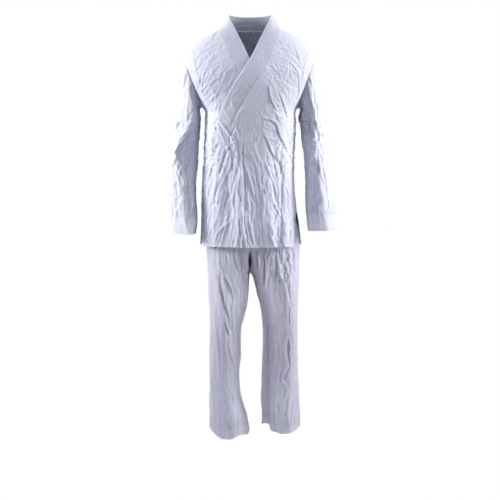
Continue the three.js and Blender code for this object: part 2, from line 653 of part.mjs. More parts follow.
function legPoint(rings, folds, sign, u, z) {
  const turn = 2 * Math.PI * u;
  const ring = {
    outX: read(rings, "out", z),
    inX: read(rings, "in", z),
    outZ: z,
    inZ: z,
    y: read(rings, "y", z),
    depth: read(rings, "depth", z),
    crease: read(rings, "crease", z),
    fold: read(rings, "fold", z),
  };
  // the folds stay off the inner thigh, where the legs nearly touch
  const clear = smooth(10, 40, Math.min(u * 360, 360 - u * 360));
  return tubePoint(ring, sign, turn, turnLift(folds, u * 360, z) * clear);
}

// Half of the hips, from the front middle over the side to the back middle. The columns
// crowd towards the middle seams, so that a leg's front and back carry straight on up.
function hipPoint(sign, folds, u, z) {
  const angle = Math.PI * u - 0.314 * Math.sin(2 * Math.PI * u);
  const square = 2.25;
  const s = Math.sin(angle) ** (2 / square);
  const c = Math.cos(angle);
  const y = read(HIPS, "y", z);
  const half = read(HIPS, sign > 0 ? "left" : "right", z);
  const deep = c > 0 ? read(HIPS, "front", z) - y : read(HIPS, "back", z) - y;
  const lift = turnLift(folds, u * 360, z) * 0.4 * smooth(0.06, 0.2, Math.min(u, 1 - u));
  const reach = 1 + (lift * smooth(-600, -740, z)) / half;
  return new THREE.Vector3(sign * half * s * reach, y + deep * Math.abs(c) ** (2 / square) * reach, z);
}

// Rows from the hem up to the waistband. Above the crotch the ring opens to the front and
// back seams, whose points lie in the middle plane.
function trouserGrid(sign) {
  const rings = sign > 0 ? LEG_LEFT : LEG_RIGHT;
  const folds = sign > 0 ? LEG_FOLDS_LEFT : LEG_FOLDS_RIGHT;
  const shares = even(LEG_COLUMNS);
  const lowest = rings[0].z;
  // the right hem dips at its inner front and rides up at its outer side
  const dip = (u) => (sign > 0 ? 0 : 11 * Math.cos(2 * Math.PI * (u - 0.12)) - 1);
  const edge = shares.map((u) => {
    const point = legPoint(rings, folds, sign, u === 1 ? 0 : u, lowest);
    point.z -= dip(u === 1 ? 0 : u);
    return point;
  });
  const leg = LEG_ROWS.map((z) =>
    shares.map((u) => {
      if (z >= CROTCH_Z && (u === 0 || u === 1)) return new THREE.Vector3(0, read(HIPS, "y", z), z);
      return legPoint(rings, folds, sign, u === 1 ? 0 : u, z);
    }),
  );
  const hip = HIP_ROWS.map((z) => {
    const rise = clamp01((z - CROTCH_Z) / SEAT_RISE);
    const open = Math.sqrt(1 - (1 - rise) ** 2);
    return shares.map((u) => {
      const legSide = legPoint(rings, folds, sign, u === 1 ? 0 : u, CROTCH_Z);
      const point = legSide.lerp(hipPoint(sign, folds, u, z), open);
      point.z = z;
      if (u === 0 || u === 1) point.x = 0;
      return point;
    });
  });
  return [edge, ...leg, ...hip];
}

function waistbandGrid() {
  return WAIST_ROWS.map((z) => {
    const left = even(LEG_COLUMNS).map((u) => hipPoint(1, LEG_FOLDS_LEFT, u, z));
    const right = even(LEG_COLUMNS).map((u) => hipPoint(-1, LEG_FOLDS_RIGHT, u, z));
    left[0].x = 0;
    left[LEG_COLUMNS].x = 0;
    return [...left, ...right.slice(1, -1).reverse()];
  });
}

// Walls

const cloth = (color, roughness = 0.92) =>
  new THREE.MeshStandardMaterial({ color, roughness, metalness: 0, side: THREE.DoubleSide });
const MATERIALS = {
  jacket: cloth("#f3f2fb"),
  band: cloth("#f7f6fc"),
  lining: cloth("#eceaf4"),
  trousers: cloth("#e6e4ef"),
};

// Which way each grid's rows and columns run, so that its outer face points away from the
// wearer. joined lists the boundaries that are sewn to another piece, and so keep a gap.
const pieces = [];
function piece(name, grid, options) {
  pieces.push({ name, grid, closed: false, flip: false, hemRows: 0, openFrom: Infinity, ...options });
}

const keyOf = (p) => `${Math.round(p.x * 50)},${Math.round(p.y * 50)},${Math.round(p.z * 50)}`;

function eachQuad(part, use) {
  const { grid } = part;
  const columns = grid[0].length;
  const tube = part.closed ? columns : columns - 1;
  for (let r = 0; r + 1 < grid.length; r += 1) {
    for (let c = 0; c < tube; c += 1) {
      const d = (c + 1) % columns;
      use([r, c], [r, d], [r + 1, d], [r + 1, c]);
    }
  }
}

// Normals are shared over every seam, so that sewn walls meet in one plane. At a crease they
// are lengthened, as a mitre is, so that the wall keeps its thickness.
const MOST_MITRE = 2.4;
function sharedNormals(sewn) {
  const sums = new Map();
  const faces = new Map();
  for (const part of sewn) {
    eachQuad(part, (...corners) => {
      const [pa, pb, pc, pd] = corners.map(([r, k]) => part.grid[r][k]);
      const normal = pc.clone().sub(pa).cross(pd.clone().sub(pb));
      if (part.flip) normal.negate();
      for (const p of [pa, pb, pc, pd]) {
        const key = keyOf(p);
        if (!sums.has(key)) {
          sums.set(key, new THREE.Vector3());
          faces.set(key, []);
        }
        sums.get(key).add(normal);
        faces.get(key).push(normal);
      }
    });
  }
  return (p) => {
    const key = keyOf(p);
    const normal = sums.get(key).clone().normalize();
    const around = faces.get(key).filter((n) => n.length() > 1e-6);
    const facing = around.reduce((sum, n) => sum + n.dot(normal) / n.length(), 0) / around.length;
    return normal.multiplyScalar(Math.min(MOST_MITRE, 1 / Math.max(facing, 1e-3)));
  };
}

// Raises a grid to a closed wall. hemRows counts the rows of its turned hem, whose second
// layer lies on the inside. Below openFrom, the first and last columns are one.
function wall(part, normalAt) {
  const { grid, thick, seams, openFrom } = part;
  const rows = grid.length;
  const columns = grid[0].length;
  const split = openFrom !== Infinity;
  const joined = (r) => part.closed || (split && r < openFrom);
  const normals = grid.map((row) => row.map(normalAt));
  const positions = [];
  const index = [new Map(), new Map()];
  const place = (r, c) => {
    const p = grid[r][c].clone();
    const pull = (to, gap = SEAM_GAP / 2) =>
      p.add(to.clone().sub(grid[r][c]).normalize().multiplyScalar(gap));
    if (r === 0 && seams.includes("start")) pull(grid[1][c]);
    if (r === rows - 1 && seams.includes("end")) {
      const fromUnderarm = Math.min(c, columns - c);
      const ease = part.closed ? UNDERARM_EASE * (1 - smooth(0, 4, fromUnderarm)) : 0;
      pull(grid[rows - 2][c], SEAM_GAP / 2 + ease);
    }
    if (joined(r)) return p;
    if (c === 0 && seams.includes("left")) pull(grid[r][1], thick > CLOTH ? SEAM_GAP : SEAM_GAP / 2);
    if (c === columns - 1 && seams.includes("right")) pull(grid[r][columns - 2]);
    return p;
  };
  const vertex = (r, c, layer) => {
    const column = c === columns - 1 && split && joined(r) ? 0 : c;
    const key = r * columns + column;
    if (!index[layer].has(key)) {
      const depth = r < part.hemRows ? thick / 2 + TURNED_CLOTH - CLOTH : thick / 2;
      const p = place(r, column).addScaledVector(normals[r][column], layer === 0 ? thick / 2 : -depth);
      index[layer].set(key, positions.length / 3);
      positions.push(p.x, p.y, p.z);
    }
    return index[layer].get(key);
  };
  const triangles = [];
  const quad = (a, b, c, d) => {
    const list = part.flip ? [d, c, b, a] : [a, b, c, d];
    triangles.push(list[0], list[1], list[2], list[0], list[2], list[3]);
  };
  eachQuad(part, (a, b, c, d) => {
    quad(...[a, b, c, d].map(([r, k]) => vertex(r, k, 0)));
    quad(...[d, c, b, a].map(([r, k]) => vertex(r, k, 1)));
  });
  const rim = (a, b) => quad(vertex(...b, 0), vertex(...a, 0), vertex(...a, 1), vertex(...b, 1));
  const tube = part.closed ? columns : columns - 1;
  for (let c = 0; c < tube; c += 1) {
    const d = (c + 1) % columns;
    rim([0, c], [0, d]);
    rim([rows - 1, d], [rows - 1, c]);
  }
  for (let r = 0; r + 1 < rows; r += 1) {
    if (part.closed || (split && r + 1 < openFrom)) continue;
    rim([r, columns - 1], [r + 1, columns - 1]);
    rim([r + 1, 0], [r, 0]);
  }
  const geometry = new THREE.BufferGeometry();
  geometry.setAttribute("position", new THREE.Float32BufferAttribute(positions, 3));
  geometry.setIndex(triangles);
  geometry.computeVertexNormals();
  return geometry;
}

// Assembly

const left = frontGrid(1);
const right = frontGrid(-1);
const back = backGrid();
sewBody(back, left, right);
const lastBack = back[0].length - 1;

const panel = { thick: CLOTH, seams: ["end", "left", "right"], hemRows: JACKET_HEM_ROW + 1, material: "jacket" };
piece("jacket_back", back, { ...panel, flip: true });
piece("jacket_front_left", left, panel);
piece("jacket_front_right", right, { ...panel, flip: true });
piece("collar_band", collarGrid(back, left, right), {
  thick: BAND_CLOTH,
  flip: true,
  seams: ["left"],
  material: "band",
});

const tube = { thick: CLOTH, closed: true, seams: ["end"], hemRows: 3, material: "jacket" };
piece("sleeve_left", sleeveGrid(left, back, lastBack, 1, SLEEVE_LEFT), tube);
piece("sleeve_right", sleeveGrid(right, back, 0, -1, SLEEVE_RIGHT), { ...tube, flip: true });

const leg = {
  thick: CLOTH,
  openFrom: LEG_ROWS.length,
  seams: ["end", "left", "right"],
  hemRows: LEG_HEM_ROW + 1,
  material: "trousers",
};
piece("trouser_leg_left", trouserGrid(1), leg);
piece("trouser_leg_right", trouserGrid(-1), { ...leg, flip: true });
piece("waistband", waistbandGrid(), {
  thick: TURNED_CLOTH,
  closed: true,
  seams: ["start"],
  material: "trousers",
});

const seamNormal = sharedNormals(pieces);
const liningLeft = liningGrid(left, seamNormal);
const liningRight = liningGrid(right, seamNormal);
const lining = { thick: LINING_CLOTH, seams: [], material: "lining" };
piece("shoulder_lining_left", liningLeft, lining);
piece("shoulder_lining_right", liningRight, { ...lining, flip: true });

const group = new THREE.Group();
for (const part of pieces) {
  const normalAt = part.material === "lining" ? sharedNormals([part]) : seamNormal;
  const mesh = new THREE.Mesh(wall(part, normalAt), MATERIALS[part.material]);
  mesh.name = part.name;
  group.add(mesh);
}

export default group;
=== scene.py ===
"""A martial arts gi, jacket and trousers, in the form in which it is worn.

Every cloth piece starts from the outer face of its solid. The face's grid is read, laid through
smooth curves, creased by the listed folds, and given the thickness of the cloth. Rows of sewn
stitches lie on top. Lengths in the tables are in millimetres.
"""
import math
import random
from typing import NamedTuple

import bmesh
import bpy
import numpy as np
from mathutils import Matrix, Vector


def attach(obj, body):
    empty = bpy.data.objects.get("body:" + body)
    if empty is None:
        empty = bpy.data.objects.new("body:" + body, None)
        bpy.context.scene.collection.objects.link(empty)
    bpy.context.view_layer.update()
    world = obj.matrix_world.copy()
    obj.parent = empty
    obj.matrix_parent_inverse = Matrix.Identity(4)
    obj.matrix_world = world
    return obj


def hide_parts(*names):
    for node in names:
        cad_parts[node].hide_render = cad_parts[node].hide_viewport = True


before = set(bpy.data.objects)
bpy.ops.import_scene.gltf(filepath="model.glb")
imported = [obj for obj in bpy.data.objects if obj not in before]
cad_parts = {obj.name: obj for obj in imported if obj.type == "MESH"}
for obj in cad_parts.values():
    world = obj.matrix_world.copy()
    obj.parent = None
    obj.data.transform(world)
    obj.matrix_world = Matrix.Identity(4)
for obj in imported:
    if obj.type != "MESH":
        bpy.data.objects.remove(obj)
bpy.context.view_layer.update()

bl_info = {
    "name": "Martial arts gi",
    "version": (1, 0, 0),
    "blender": (4, 5, 0),
    "location": "3D View > Sidebar > Gi",
    "description": "Dresses the gi's solids in creased, stitched cotton",
    "category": "Object",
}

MM = 0.001
FLOOR_Z = -1.536
SAME_POINT = 1e-5
LAYER_TURN = math.radians(55)

# Beside a lower edge, rows this close together only carry the solid's turned hem
TURN_STEP = 4 * MM
TURN_ROWS = 4


class Fold(NamedTuple):
    """A soft ridge, or a trough where its height is negative, along points across a view."""

    height: float
    width: float
    lean: float
    line: tuple


def fold(height, width, lean, *line):
    """A fold from its height, half width, lean to one side, and the points it runs through."""
    return Fold(height, width, lean, line)


class Crumple(NamedTuple):
    """A zone of small creases that run roughly one way."""

    count: int
    zone: tuple
    angle: float
    spread: float
    length: tuple
    height: tuple
    width: tuple


# Folds, each (height, width, lean, then points seen from that side as (across, up)), in mm

JACKET_FRONT_FOLDS = [
    # the slanting ridges under the crossing, and the fan that spreads down from them
    fold(3.6, 4.0, 0, (-110, -290), (-100, -310), (-65, -355), (-50, -385), (-53, -410)),
    fold(-3.6, 6.0, 0, (-103, -325), (-96, -360), (-82, -390)),
    fold(-3.0, 4.0, 0, (-75, -405), (-90, -450), (-103, -490)),
    fold(-3.0, 3.4, 0, (-86, -418), (-106, -500)),
    fold(3.6, 4.0, -0.6, (-25, -363), (-31, -418), (-26, -505), (-27, -540), (-26, -610), (-15, -727)),
    fold(2.2, 2.7, 0, (-40, -430), (-34, -473), (-40, -540), (-40, -610)),
    fold(2.2, 3.4, 0, (-62, -460), (-65, -505), (-58, -580), (-48, -630)),
    fold(2.5, 3.4, 0, (-20, -445), (3, -505), (30, -575), (55, -630)),
    fold(2.2, 2.7, 0, (-3, -473), (10, -548), (19, -596)),
    fold(1.8, 2.7, 0, (27, -425), (48, -473)),
    fold(1.8, 2.7, 0, (34, -353), (20, -377)),
    # the long bow from under the left arm to the hem
    fold(3.6, 4.0, 0.5, (38, -296), (80, -308), (103, -360), (127, -404), (147, -435)),
    fold(-3.6, 4.8, 0.3, (48, -363), (72, -418), (100, -466), (106, -520), (103, -610), (106, -713)),
    fold(2.5, 3.4, 0.4, (40, -337), (55, -366), (70, -400), (90, -466)),
    fold(3.0, 3.0, 0.7, (62, -190), (72, -240), (93, -277)),
    fold(3.0, 3.0, 0.7, (96, -212), (113, -253), (127, -300)),
    fold(2.2, 2.7, 0.5, (86, -277), (96, -310)),
    # short pinches above the hem
    fold(-2.2, 2.6, 0, (93, -610), (74, -650)),
    fold(-2.2, 2.6, 0.5, (55, -548), (69, -593)),
    fold(-2.2, 2.6, 0.5, (69, -562), (86, -617)),
    fold(-1.8, 2.6, 0, (40, -528), (62, -572)),
    fold(-1.8, 2.6, 0, (80, -540), (93, -586)),
    # the hem's waves
    fold(3.6, 5.4, 0, (65, -630), (75, -685), (77, -733)),
    fold(3.0, 3.4, 0, (-50, -627), (-86, -658), (-110, -680), (-120, -716)),
    fold(2.2, 4.0, 0, (-106, -500), (-127, -576), (-144, -665)),
    fold(1.8, 3.4, 0, (-82, -493), (-96, -576), (-113, -650)),
    fold(1.4, 2.7, 0, (-70, -593), (-80, -650), (-96, -727)),
    fold(2.2, 2.7, 0, (-58, -650), (-38, -733)),
    fold(1.8, 2.7, 0, (-48, -650), (-65, -733)),
    fold(2.2, 2.7, 0.5, (-10, -528), (-3, -624), (14, -727)),
    fold(1.4, 2.7, 0, (20, -624), (40, -680), (40, -733)),
    fold(1.8, 2.7, 0, (117, -540), (123, -624), (117, -727)),
    # along the right side, then along the left side
    fold(1.8, 2.6, 0, (-123, -222), (-130, -267)),
    fold(1.8, 2.6, 0, (-110, -230), (-117, -287)),
    fold(1.8, 2.6, 0, (-100, -246), (-106, -300)),
    fold(1.8, 2.6, 0.5, (-127, -277), (-103, -322)),
    fold(2.2, 2.7, 0.5, (-90, -330), (-65, -366)),
    fold(1.8, 3.4, 0, (-123, -336), (-130, -404), (-150, -480)),
    fold(2.2, 3.4, 0.4, (120, -322), (137, -377), (144, -432)),
    fold(1.8, 2.7, 0.4, (150, -260), (140, -315), (158, -377)),
    fold(2.2, 4.0, 0, (127, -473), (140, -562), (137, -658)),
    fold(1.8, 3.4, 0, (160, -438), (165, -540), (154, -650)),
    # faint ones on the shoulders and beside the armholes
    fold(1.2, 2.7, 0, (-96, -47), (-130, -58), (-168, -82)),
    fold(1.2, 2.6, 0, (-75, -85), (-123, -95), (-160, -126)),
    fold(1.1, 2.6, 0, (-80, -110), (-110, -130), (-144, -178)),
    fold(1.1, 2.6, 0, (93, -60), (134, -75), (172, -102)),
    fold(1.2, 2.6, 0, (96, -95), (140, -116), (165, -164)),
    fold(1.4, 2.7, 0, (-190, -78), (-182, -130), (-165, -190)),
    fold(1.4, 2.7, 0, (196, -82), (182, -130), (172, -190)),
    fold(1.4, 2.7, 0.5, (-154, -147), (-160, -205), (-144, -246)),
    fold(1.4, 2.7, 0.5, (158, -150), (165, -205), (150, -253)),
]

LEGS_FRONT_FOLDS = [
    # two slanting ridges on the right leg, each with a trough beside it
    fold(2.6, 2.7, 0.5, (-125, -737), (-117, -795), (-106, -860), (-97, -908), (-84, -963),
         (-72, -1018), (-62, -1040)),
    fold(-1.4, 2.7, 0, (-101, -860), (-89, -908), (-77, -963), (-63, -1018), (-55, -1046)),
    fold(2.3, 2.5, 0.3, (-117, -757), (-94, -809), (-70, -853), (-58, -889), (-55, -936)),
    fold(-1.1, 2.5, 0, (-64, -856), (-54, -892), (-52, -934)),
    # the gathers that hang from the crotch
    fold(-3.0, 2.7, 0, (-32, -737), (-29, -788), (-27, -850)),
    fold(4.0, 4.1, 0, (-17, -737), (-15, -816), (-20, -920), (-24, -960)),
    fold(-3.6, 3.4, 0, (0, -740), (0, -810)),
    fold(-1.8, 2.7, 0, (-57, -740), (-48, -788), (-40, -823)),
    fold(-4.0, 3.4, 0, (20, -740), (24, -788), (31, -864)),
    fold(3.2, 3.4, 0, (31, -740), (38, -816), (55, -920)),
    fold(-4.0, 3.4, 0, (45, -740), (48, -802), (45, -884)),
    fold(1.5, 2.7, 0, (67, -740), (62, -816), (58, -920)),
    # smaller ones down the right leg
    fold(-1.5, 2.6, 0, (-82, -744), (-75, -788)),
    fold(1.5, 2.7, 0, (-96, -788), (-82, -884), (-70, -960)),
    fold(1.8, 3.4, 0.4, (-72, -1040), (-67, -1094), (-50, -1145)),
    fold(1.5, 2.7, 0.3, (-65, -1220), (-58, -1248), (-55, -1272)),
    fold(1.2, 2.6, 0, (-93, -1260), (-69, -1257)),
    fold(1.2, 3.4, 0, (-123, -920), (-110, -1056), (-106, -1180)),
    fold(1.5, 3.4, 0.4, (-41, -1022), (-34, -1097), (-38, -1207), (-17, -1296)),
    fold(1.2, 2.7, 0, (-86, -1268), (-72, -1330), (-48, -1378)),
    # the long wandering ridge on the left leg, and what lies on both sides of it
    fold(2.8, 2.9, -0.5, (89, -740), (102, -810), (119, -860), (127, -905), (129, -973),
         (132, -1022), (122, -1087), (129, -1142), (110, -1183), (129, -1212), (119, -1262),
         (117, -1320), (129, -1364)),
    fold(2.0, 2.7, 0, (94, -754), (104, -816), (102, -843)),
    fold(2.0, 2.6, 0.5, (113, -810), (129, -820), (123, -857)),
    fold(1.8, 2.6, 0, (154, -737), (149, -785), (150, -850)),
    fold(1.8, 2.7, 0, (130, -747), (137, -802), (134, -884)),
    fold(1.8, 2.6, 0.4, (137, -973), (134, -1042), (140, -1090)),
    fold(-2.5, 4.1, 0, (58, -920), (63, -1056), (65, -1193), (70, -1334)),
    fold(1.5, 3.4, 0, (86, -987), (93, -1097), (86, -1193)),
    fold(1.5, 2.7, 0, (100, -1234), (93, -1275), (106, -1344)),
    fold(1.5, 3.4, 0.4, (154, -884), (158, -1022), (150, -1145)),
    fold(1.2, 2.7, 0, (144, -1180), (150, -1248), (144, -1316)),
]

RIGHT_SLEEVE_FRONT_FOLDS = [
    fold(-3.2, 3.8, 0.5, (-206, -147), (-217, -180), (-244, -267)),
    fold(2.4, 3.0, 0, (-196, -170), (-206, -233), (-213, -308)),
    fold(3.2, 3.4, -0.6, (-190, -294), (-213, -350), (-250, -404), (-226, -483), (-223, -565),
         (-220, -620), (-213, -672)),
    fold(-3.2, 3.0, 0, (-254, -452), (-244, -480), (-232, -514)),
    fold(2.0, 3.0, 0, (-247, -294), (-260, -342), (-274, -397)),
    fold(2.0, 3.0, 0, (-226, -233), (-247, -308), (-254, -356)),
    fold(2.0, 3.0, 0, (-260, -432), (-268, -507), (-254, -596)),
    fold(1.6, 3.0, 0, (-216, -220), (-209, -294), (-226, -363)),
    fold(2.4, 3.8, 0, (-209, -438), (-206, -540), (-200, -617)),
    fold(1.6, 2.6, 0, (-280, -507), (-274, -590)),
]

LEFT_SLEEVE_FRONT_FOLDS = [
    fold(2.4, 3.0, 0.5, (193, -145), (213, -198), (220, -246), (216, -298), (210, -384)),
    fold(3.2, 3.0, 0, (210, -384), (223, -394), (233, -408)),
    fold(-3.2, 3.0, 0, (228, -400), (228, -438), (230, -493)),
    fold(2.4, 3.0, -0.4, (233, -493), (240, -552), (254, -668)),
    fold(2.4, 3.0, 0, (213, -150), (230, -226), (237, -300)),
    fold(2.0, 3.0, 0, (226, -137), (244, -205), (257, -294)),
    fold(2.0, 3.0, 0, (244, -315), (254, -377), (274, -438)),
    fold(2.0, 3.0, 0, (247, -432), (257, -520), (268, -596)),
    fold(1.6, 3.0, 0, (213, -500), (216, -576), (226, -644)),
    fold(-2.0, 3.0, 0, (200, -233), (202, -315), (210, -404)),
]

JACKET_BACK_FOLDS = [
    fold(1.8, 6, 0, (-150, -60), (-120, -120), (-96, -190), (-84, -260)),
    fold(1.5, 5, 0.4, (-165, -110), (-140, -190), (-118, -270)),
    fold(1.8, 6, 0, (152, -58), (124, -124), (92, -196), (80, -270)),
    fold(1.7, 5, -0.4, (168, -112), (142, -186), (112, -280)),
    fold(-1.7, 7, 0, (-60, -80), (-52, -170), (-40, -250)),
    fold(-1.5, 7, 0, (56, -84), (50, -176), (34, -262)),
    fold(1.5, 5, 0.5, (-170, -392), (-110, -404), (-52, -420), (6, -414)),
    fold(1.7, 5, 0.5, (172, -380), (116, -398), (62, -412), (14, -432)),
    fold(1.4, 4.5, 0, (-150, -430), (-92, -446), (-30, -442)),
    fold(1.3, 4, 0, (150, -424), (102, -446), (50, -452)),
    fold(1.5, 4.5, -0.4, (-130, -360), (-76, -372), (-20, -362)),
    fold(2.2, 9, 0, (-120, -470), (-132, -560), (-140, -722)),
    fold(-2, 9, 0, (-94, -460), (-102, -560), (-108, -720)),
    fold(2.4, 9, 0, (-66, -450), (-70, -570), (-74, -724)),
    fold(-1.8, 8, 0, (-34, -450), (-36, -560), (-40, -716)),
    fold(2.1, 8, 0, (-6, -470), (0, -580), (-4, -724)),
    fold(-2, 9, 0, (24, -462), (30, -570), (36, -722)),
    fold(2.4, 9, 0, (56, -452), (66, -560), (76, -724)),
    fold(-1.8, 8, 0, (88, -468), (100, -580), (108, -718)),
    fold(2.1, 9, 0, (116, -470), (130, -570), (142, -722)),
    fold(1.3, 4, 0.5, (-60, -190), (-20, -206), (30, -200)),
    fold(1.3, 4, 0, (-80, -290), (-30, -310), (26, -304), (70, -288)),
    fold(1.1, 3.5, 0, (-40, -334), (20, -340), (74, -326)),
]

JACKET_SIDE_FOLDS = [
    fold(2.4, 5, 0.4, (-60, -330), (-20, -352), (30, -344), (64, -330)),
    fold(2.2, 4.5, 0, (-70, -372), (-26, -390), (24, -396), (70, -378)),
    fold(2.2, 5, 0.4, (-74, -414), (-30, -424), (40, -436)),
    fold(2, 4, 0, (-50, -452), (6, -464), (60, -456)),
    fold(2.6, 7, 0, (-64, -480), (-70, -580), (-84, -716)),
    fold(2.6, 7, 0, (46, -480), (56, -590), (66, -716)),
    fold(-2.2, 6, 0, (-24, -480), (-34, -560)),
    fold(2, 5, 0, (20, -300), (4, -420), (10, -520)),
]

SLEEVE_BACK_FOLDS = [
    fold(2.6, 5, 0.4, (190, -180), (214, -216), (242, -240)),
    fold(2.4, 4.5, 0.4, (200, -240), (226, -276), (252, -296)),
    fold(2.8, 5, 0.5, (196, -350), (222, -372), (262, -384)),
    fold(2.6, 4.5, 0.5, (200, -386), (232, -402), (272, -402)),
    fold(2.2, 4.5, 0, (206, -424), (240, -438), (274, -430)),
    fold(2.4, 6, 0, (232, -430), (244, -520), (254, -610)),
    fold(2, 5, 0, (262, -440), (272, -540), (280, -620)),
    fold(-2, 5, 0, (222, -440), (228, -540), (236, -600)),
]

LEGS_BACK_FOLDS = [
    fold(1.1, 7, 0, (-110, -740), (-96, -860), (-84, -960)),
    fold(1, 6, 0.4, (-16, -770), (-46, -800), (-84, -812), (-120, -806)),
    fold(0.92, 5, 0.4, (18, -772), (48, -802), (90, -814), (124, -806)),
    fold(1, 6, 0, (-20, -800), (-56, -838), (-104, -850)),
    fold(0.92, 6, 0, (22, -806), (60, -842), (112, -852)),
    fold(1, 6, 0, (112, -740), (104, -860), (92, -970)),
    fold(0.92, 6, 0.4, (-128, -1010), (-96, -1026), (-54, -1018)),
    fold(0.92, 5, 0.4, (-124, -1046), (-88, -1054), (-50, -1042)),
    fold(0.92, 6, 0.4, (50, -1016), (92, -1030), (136, -1018)),
    fold(0.84, 5, 0.4, (56, -1050), (98, -1058), (140, -1046)),
    fold(1.1, 8, 0, (-110, -1080), (-116, -1200), (-112, -1340)),
    fold(1, 7, 0, (-72, -1080), (-66, -1200), (-60, -1350)),
    fold(1.1, 8, 0, (80, -1080), (74, -1200), (82, -1330)),
    fold(1, 7, 0, (122, -1080), (132, -1200), (138, -1330)),
]


MIRROR_HEIGHT = 0.9
MIRROR_DROP = 6


def mirrored(folds):
    """The same folds on the other side, a little less high and a little further down."""
    return [fold(crease.height * MIRROR_HEIGHT, crease.width, -crease.lean,
                 *[(-x, z - MIRROR_DROP) for x, z in crease.line])
            for crease in folds]


JACKET_FOLDS = {"front": JACKET_FRONT_FOLDS, "back": JACKET_BACK_FOLDS,
                "left": JACKET_SIDE_FOLDS, "right": JACKET_SIDE_FOLDS}
COLLAR_FOLDS = {"front": [
    fold(3.6, 4.0, 0.3, (-114, -286), (-99, -310), (-82, -332), (-65, -356), (-50, -384), (-52, -412)),
    fold(2.0, 3.4, 0, (-106, -322), (-94, -352), (-80, -384)),
    fold(1.6, 3.2, 0.3, (-92, -262), (-76, -284), (-62, -314)),
    fold(1.4, 3.0, 0, (-62, -226), (-58, -252), (-46, -280)),
]}
SLEEVE_FOLDS = {"left": {"front": LEFT_SLEEVE_FRONT_FOLDS, "back": SLEEVE_BACK_FOLDS},
                "right": {"front": RIGHT_SLEEVE_FRONT_FOLDS, "back": mirrored(SLEEVE_BACK_FOLDS)}}
LEG_FOLDS = {"front": LEGS_FRONT_FOLDS, "back": LEGS_BACK_FOLDS}

# Zones of small creases, each (count, (left, low, right, high), angle from upright, spread of it,
# shortest and longest, lowest and highest, narrowest and widest)
FINE = (2.1, 3.1)
JACKET_FRONT_CRUMPLES = (
    Crumple(90, (-180, -150, -40, -10), 40, 15, (25, 90), (0.2, 0.55), FINE),
    Crumple(90, (50, -160, 190, -10), -40, 15, (25, 90), (0.2, 0.45), FINE),
    Crumple(100, (-185, -330, -40, -130), 25, 22, (25, 90), (0.25, 0.8), FINE),
    Crumple(80, (50, -330, 190, -130), -30, 18, (25, 100), (0.2, 0.55), FINE),
    Crumple(80, (-60, -440, 110, -240), -20, 25, (20, 70), (0.3, 0.9), FINE),
    Crumple(70, (-170, -440, -40, -330), 15, 30, (25, 80), (0.45, 1.2), FINE),
    Crumple(140, (-185, -727, -40, -400), 14, 11, (35, 140), (0.45, 1.3), FINE),
    Crumple(125, (-40, -727, 60, -420), -6, 11, (30, 115), (0.45, 1.2), FINE),
    Crumple(125, (60, -727, 190, -420), -12, 12, (35, 125), (0.45, 1.3), FINE),
    Crumple(45, (60, -700, 190, -400), 25, 10, (30, 100), (0.4, 1.0), FINE),
)
JACKET_BACK_CRUMPLES = (
    Crumple(100, (-185, -300, -20, -20), 28, 18, (30, 100), (0.4, 1.0), FINE),
    Crumple(100, (20, -300, 185, -20), -28, 18, (30, 100), (0.4, 1.0), FINE),
    Crumple(70, (-60, -300, 60, -20), 0, 30, (30, 90), (0.3, 0.8), FINE),
    Crumple(125, (-180, -480, 180, -300), 86, 20, (30, 115), (0.4, 1.0), FINE),
    Crumple(230, (-180, -727, 180, -450), 0, 9, (35, 150), (0.4, 1.2), FINE),
)
JACKET_SIDE_CRUMPLES = (
    Crumple(100, (-130, -460, 100, -250), 70, 25, (25, 90), (0.4, 1.0), FINE),
    Crumple(125, (-130, -727, 100, -440), 0, 10, (35, 125), (0.4, 1.2), FINE),
)
COLLAR_CRUMPLES = (
    Crumple(90, (-130, -400, 130, 60), 60, 40, (14, 44), (0.2, 0.55), (3, 5)),
)
SLEEVE_CRUMPLES = (
    Crumple(70, (160, -300, 290, -20), -16, 12, (35, 115), (0.6, 1.8), FINE),
    Crumple(60, (170, -460, 300, -290), -30, 24, (25, 80), (0.6, 1.9), FINE),
    Crumple(70, (180, -620, 300, -430), -8, 11, (30, 115), (0.5, 1.6), FINE),
)
SLEEVE_SIDE_CRUMPLES = (
    Crumple(70, (-100, -300, 100, -20), 8, 14, (35, 115), (0.6, 1.8), FINE),
    Crumple(60, (-100, -460, 100, -290), 40, 30, (25, 80), (0.6, 1.9), FINE),
    Crumple(70, (-100, -620, 100, -430), 0, 12, (30, 115), (0.5, 1.6), FINE),
)
LEG_CRUMPLES = (
    Crumple(150, (-150, -900, 180, -560), 0, 6, (45, 170), (0.25, 0.75), FINE),
    Crumple(90, (60, -860, 175, -735), -6, 14, (18, 60), (0.8, 1.7), FINE),
    Crumple(110, (90, -1300, 175, -850), 4, 14, (18, 70), (0.5, 1.2), FINE),
    Crumple(170, (-150, -1150, 180, -850), -4, 6, (45, 170), (0.3, 0.85), FINE),
    Crumple(150, (-150, -1380, 190, -1100), 4, 9, (40, 150), (0.3, 0.85), FINE),
)


def jacket_crumples():
    """The jacket's small creases, by the side they are seen from."""
    return {"front": crumpled(JACKET_FRONT_CRUMPLES, 11), "back": crumpled(JACKET_BACK_CRUMPLES, 18),
            "left": crumpled(JACKET_SIDE_CRUMPLES, 13), "right": crumpled(JACKET_SIDE_CRUMPLES, 14)}


def collar_crumples():
    """The collar band's, on its front and its back."""
    return {"front": crumpled(COLLAR_CRUMPLES, 16), "back": crumpled(COLLAR_CRUMPLES, 17)}


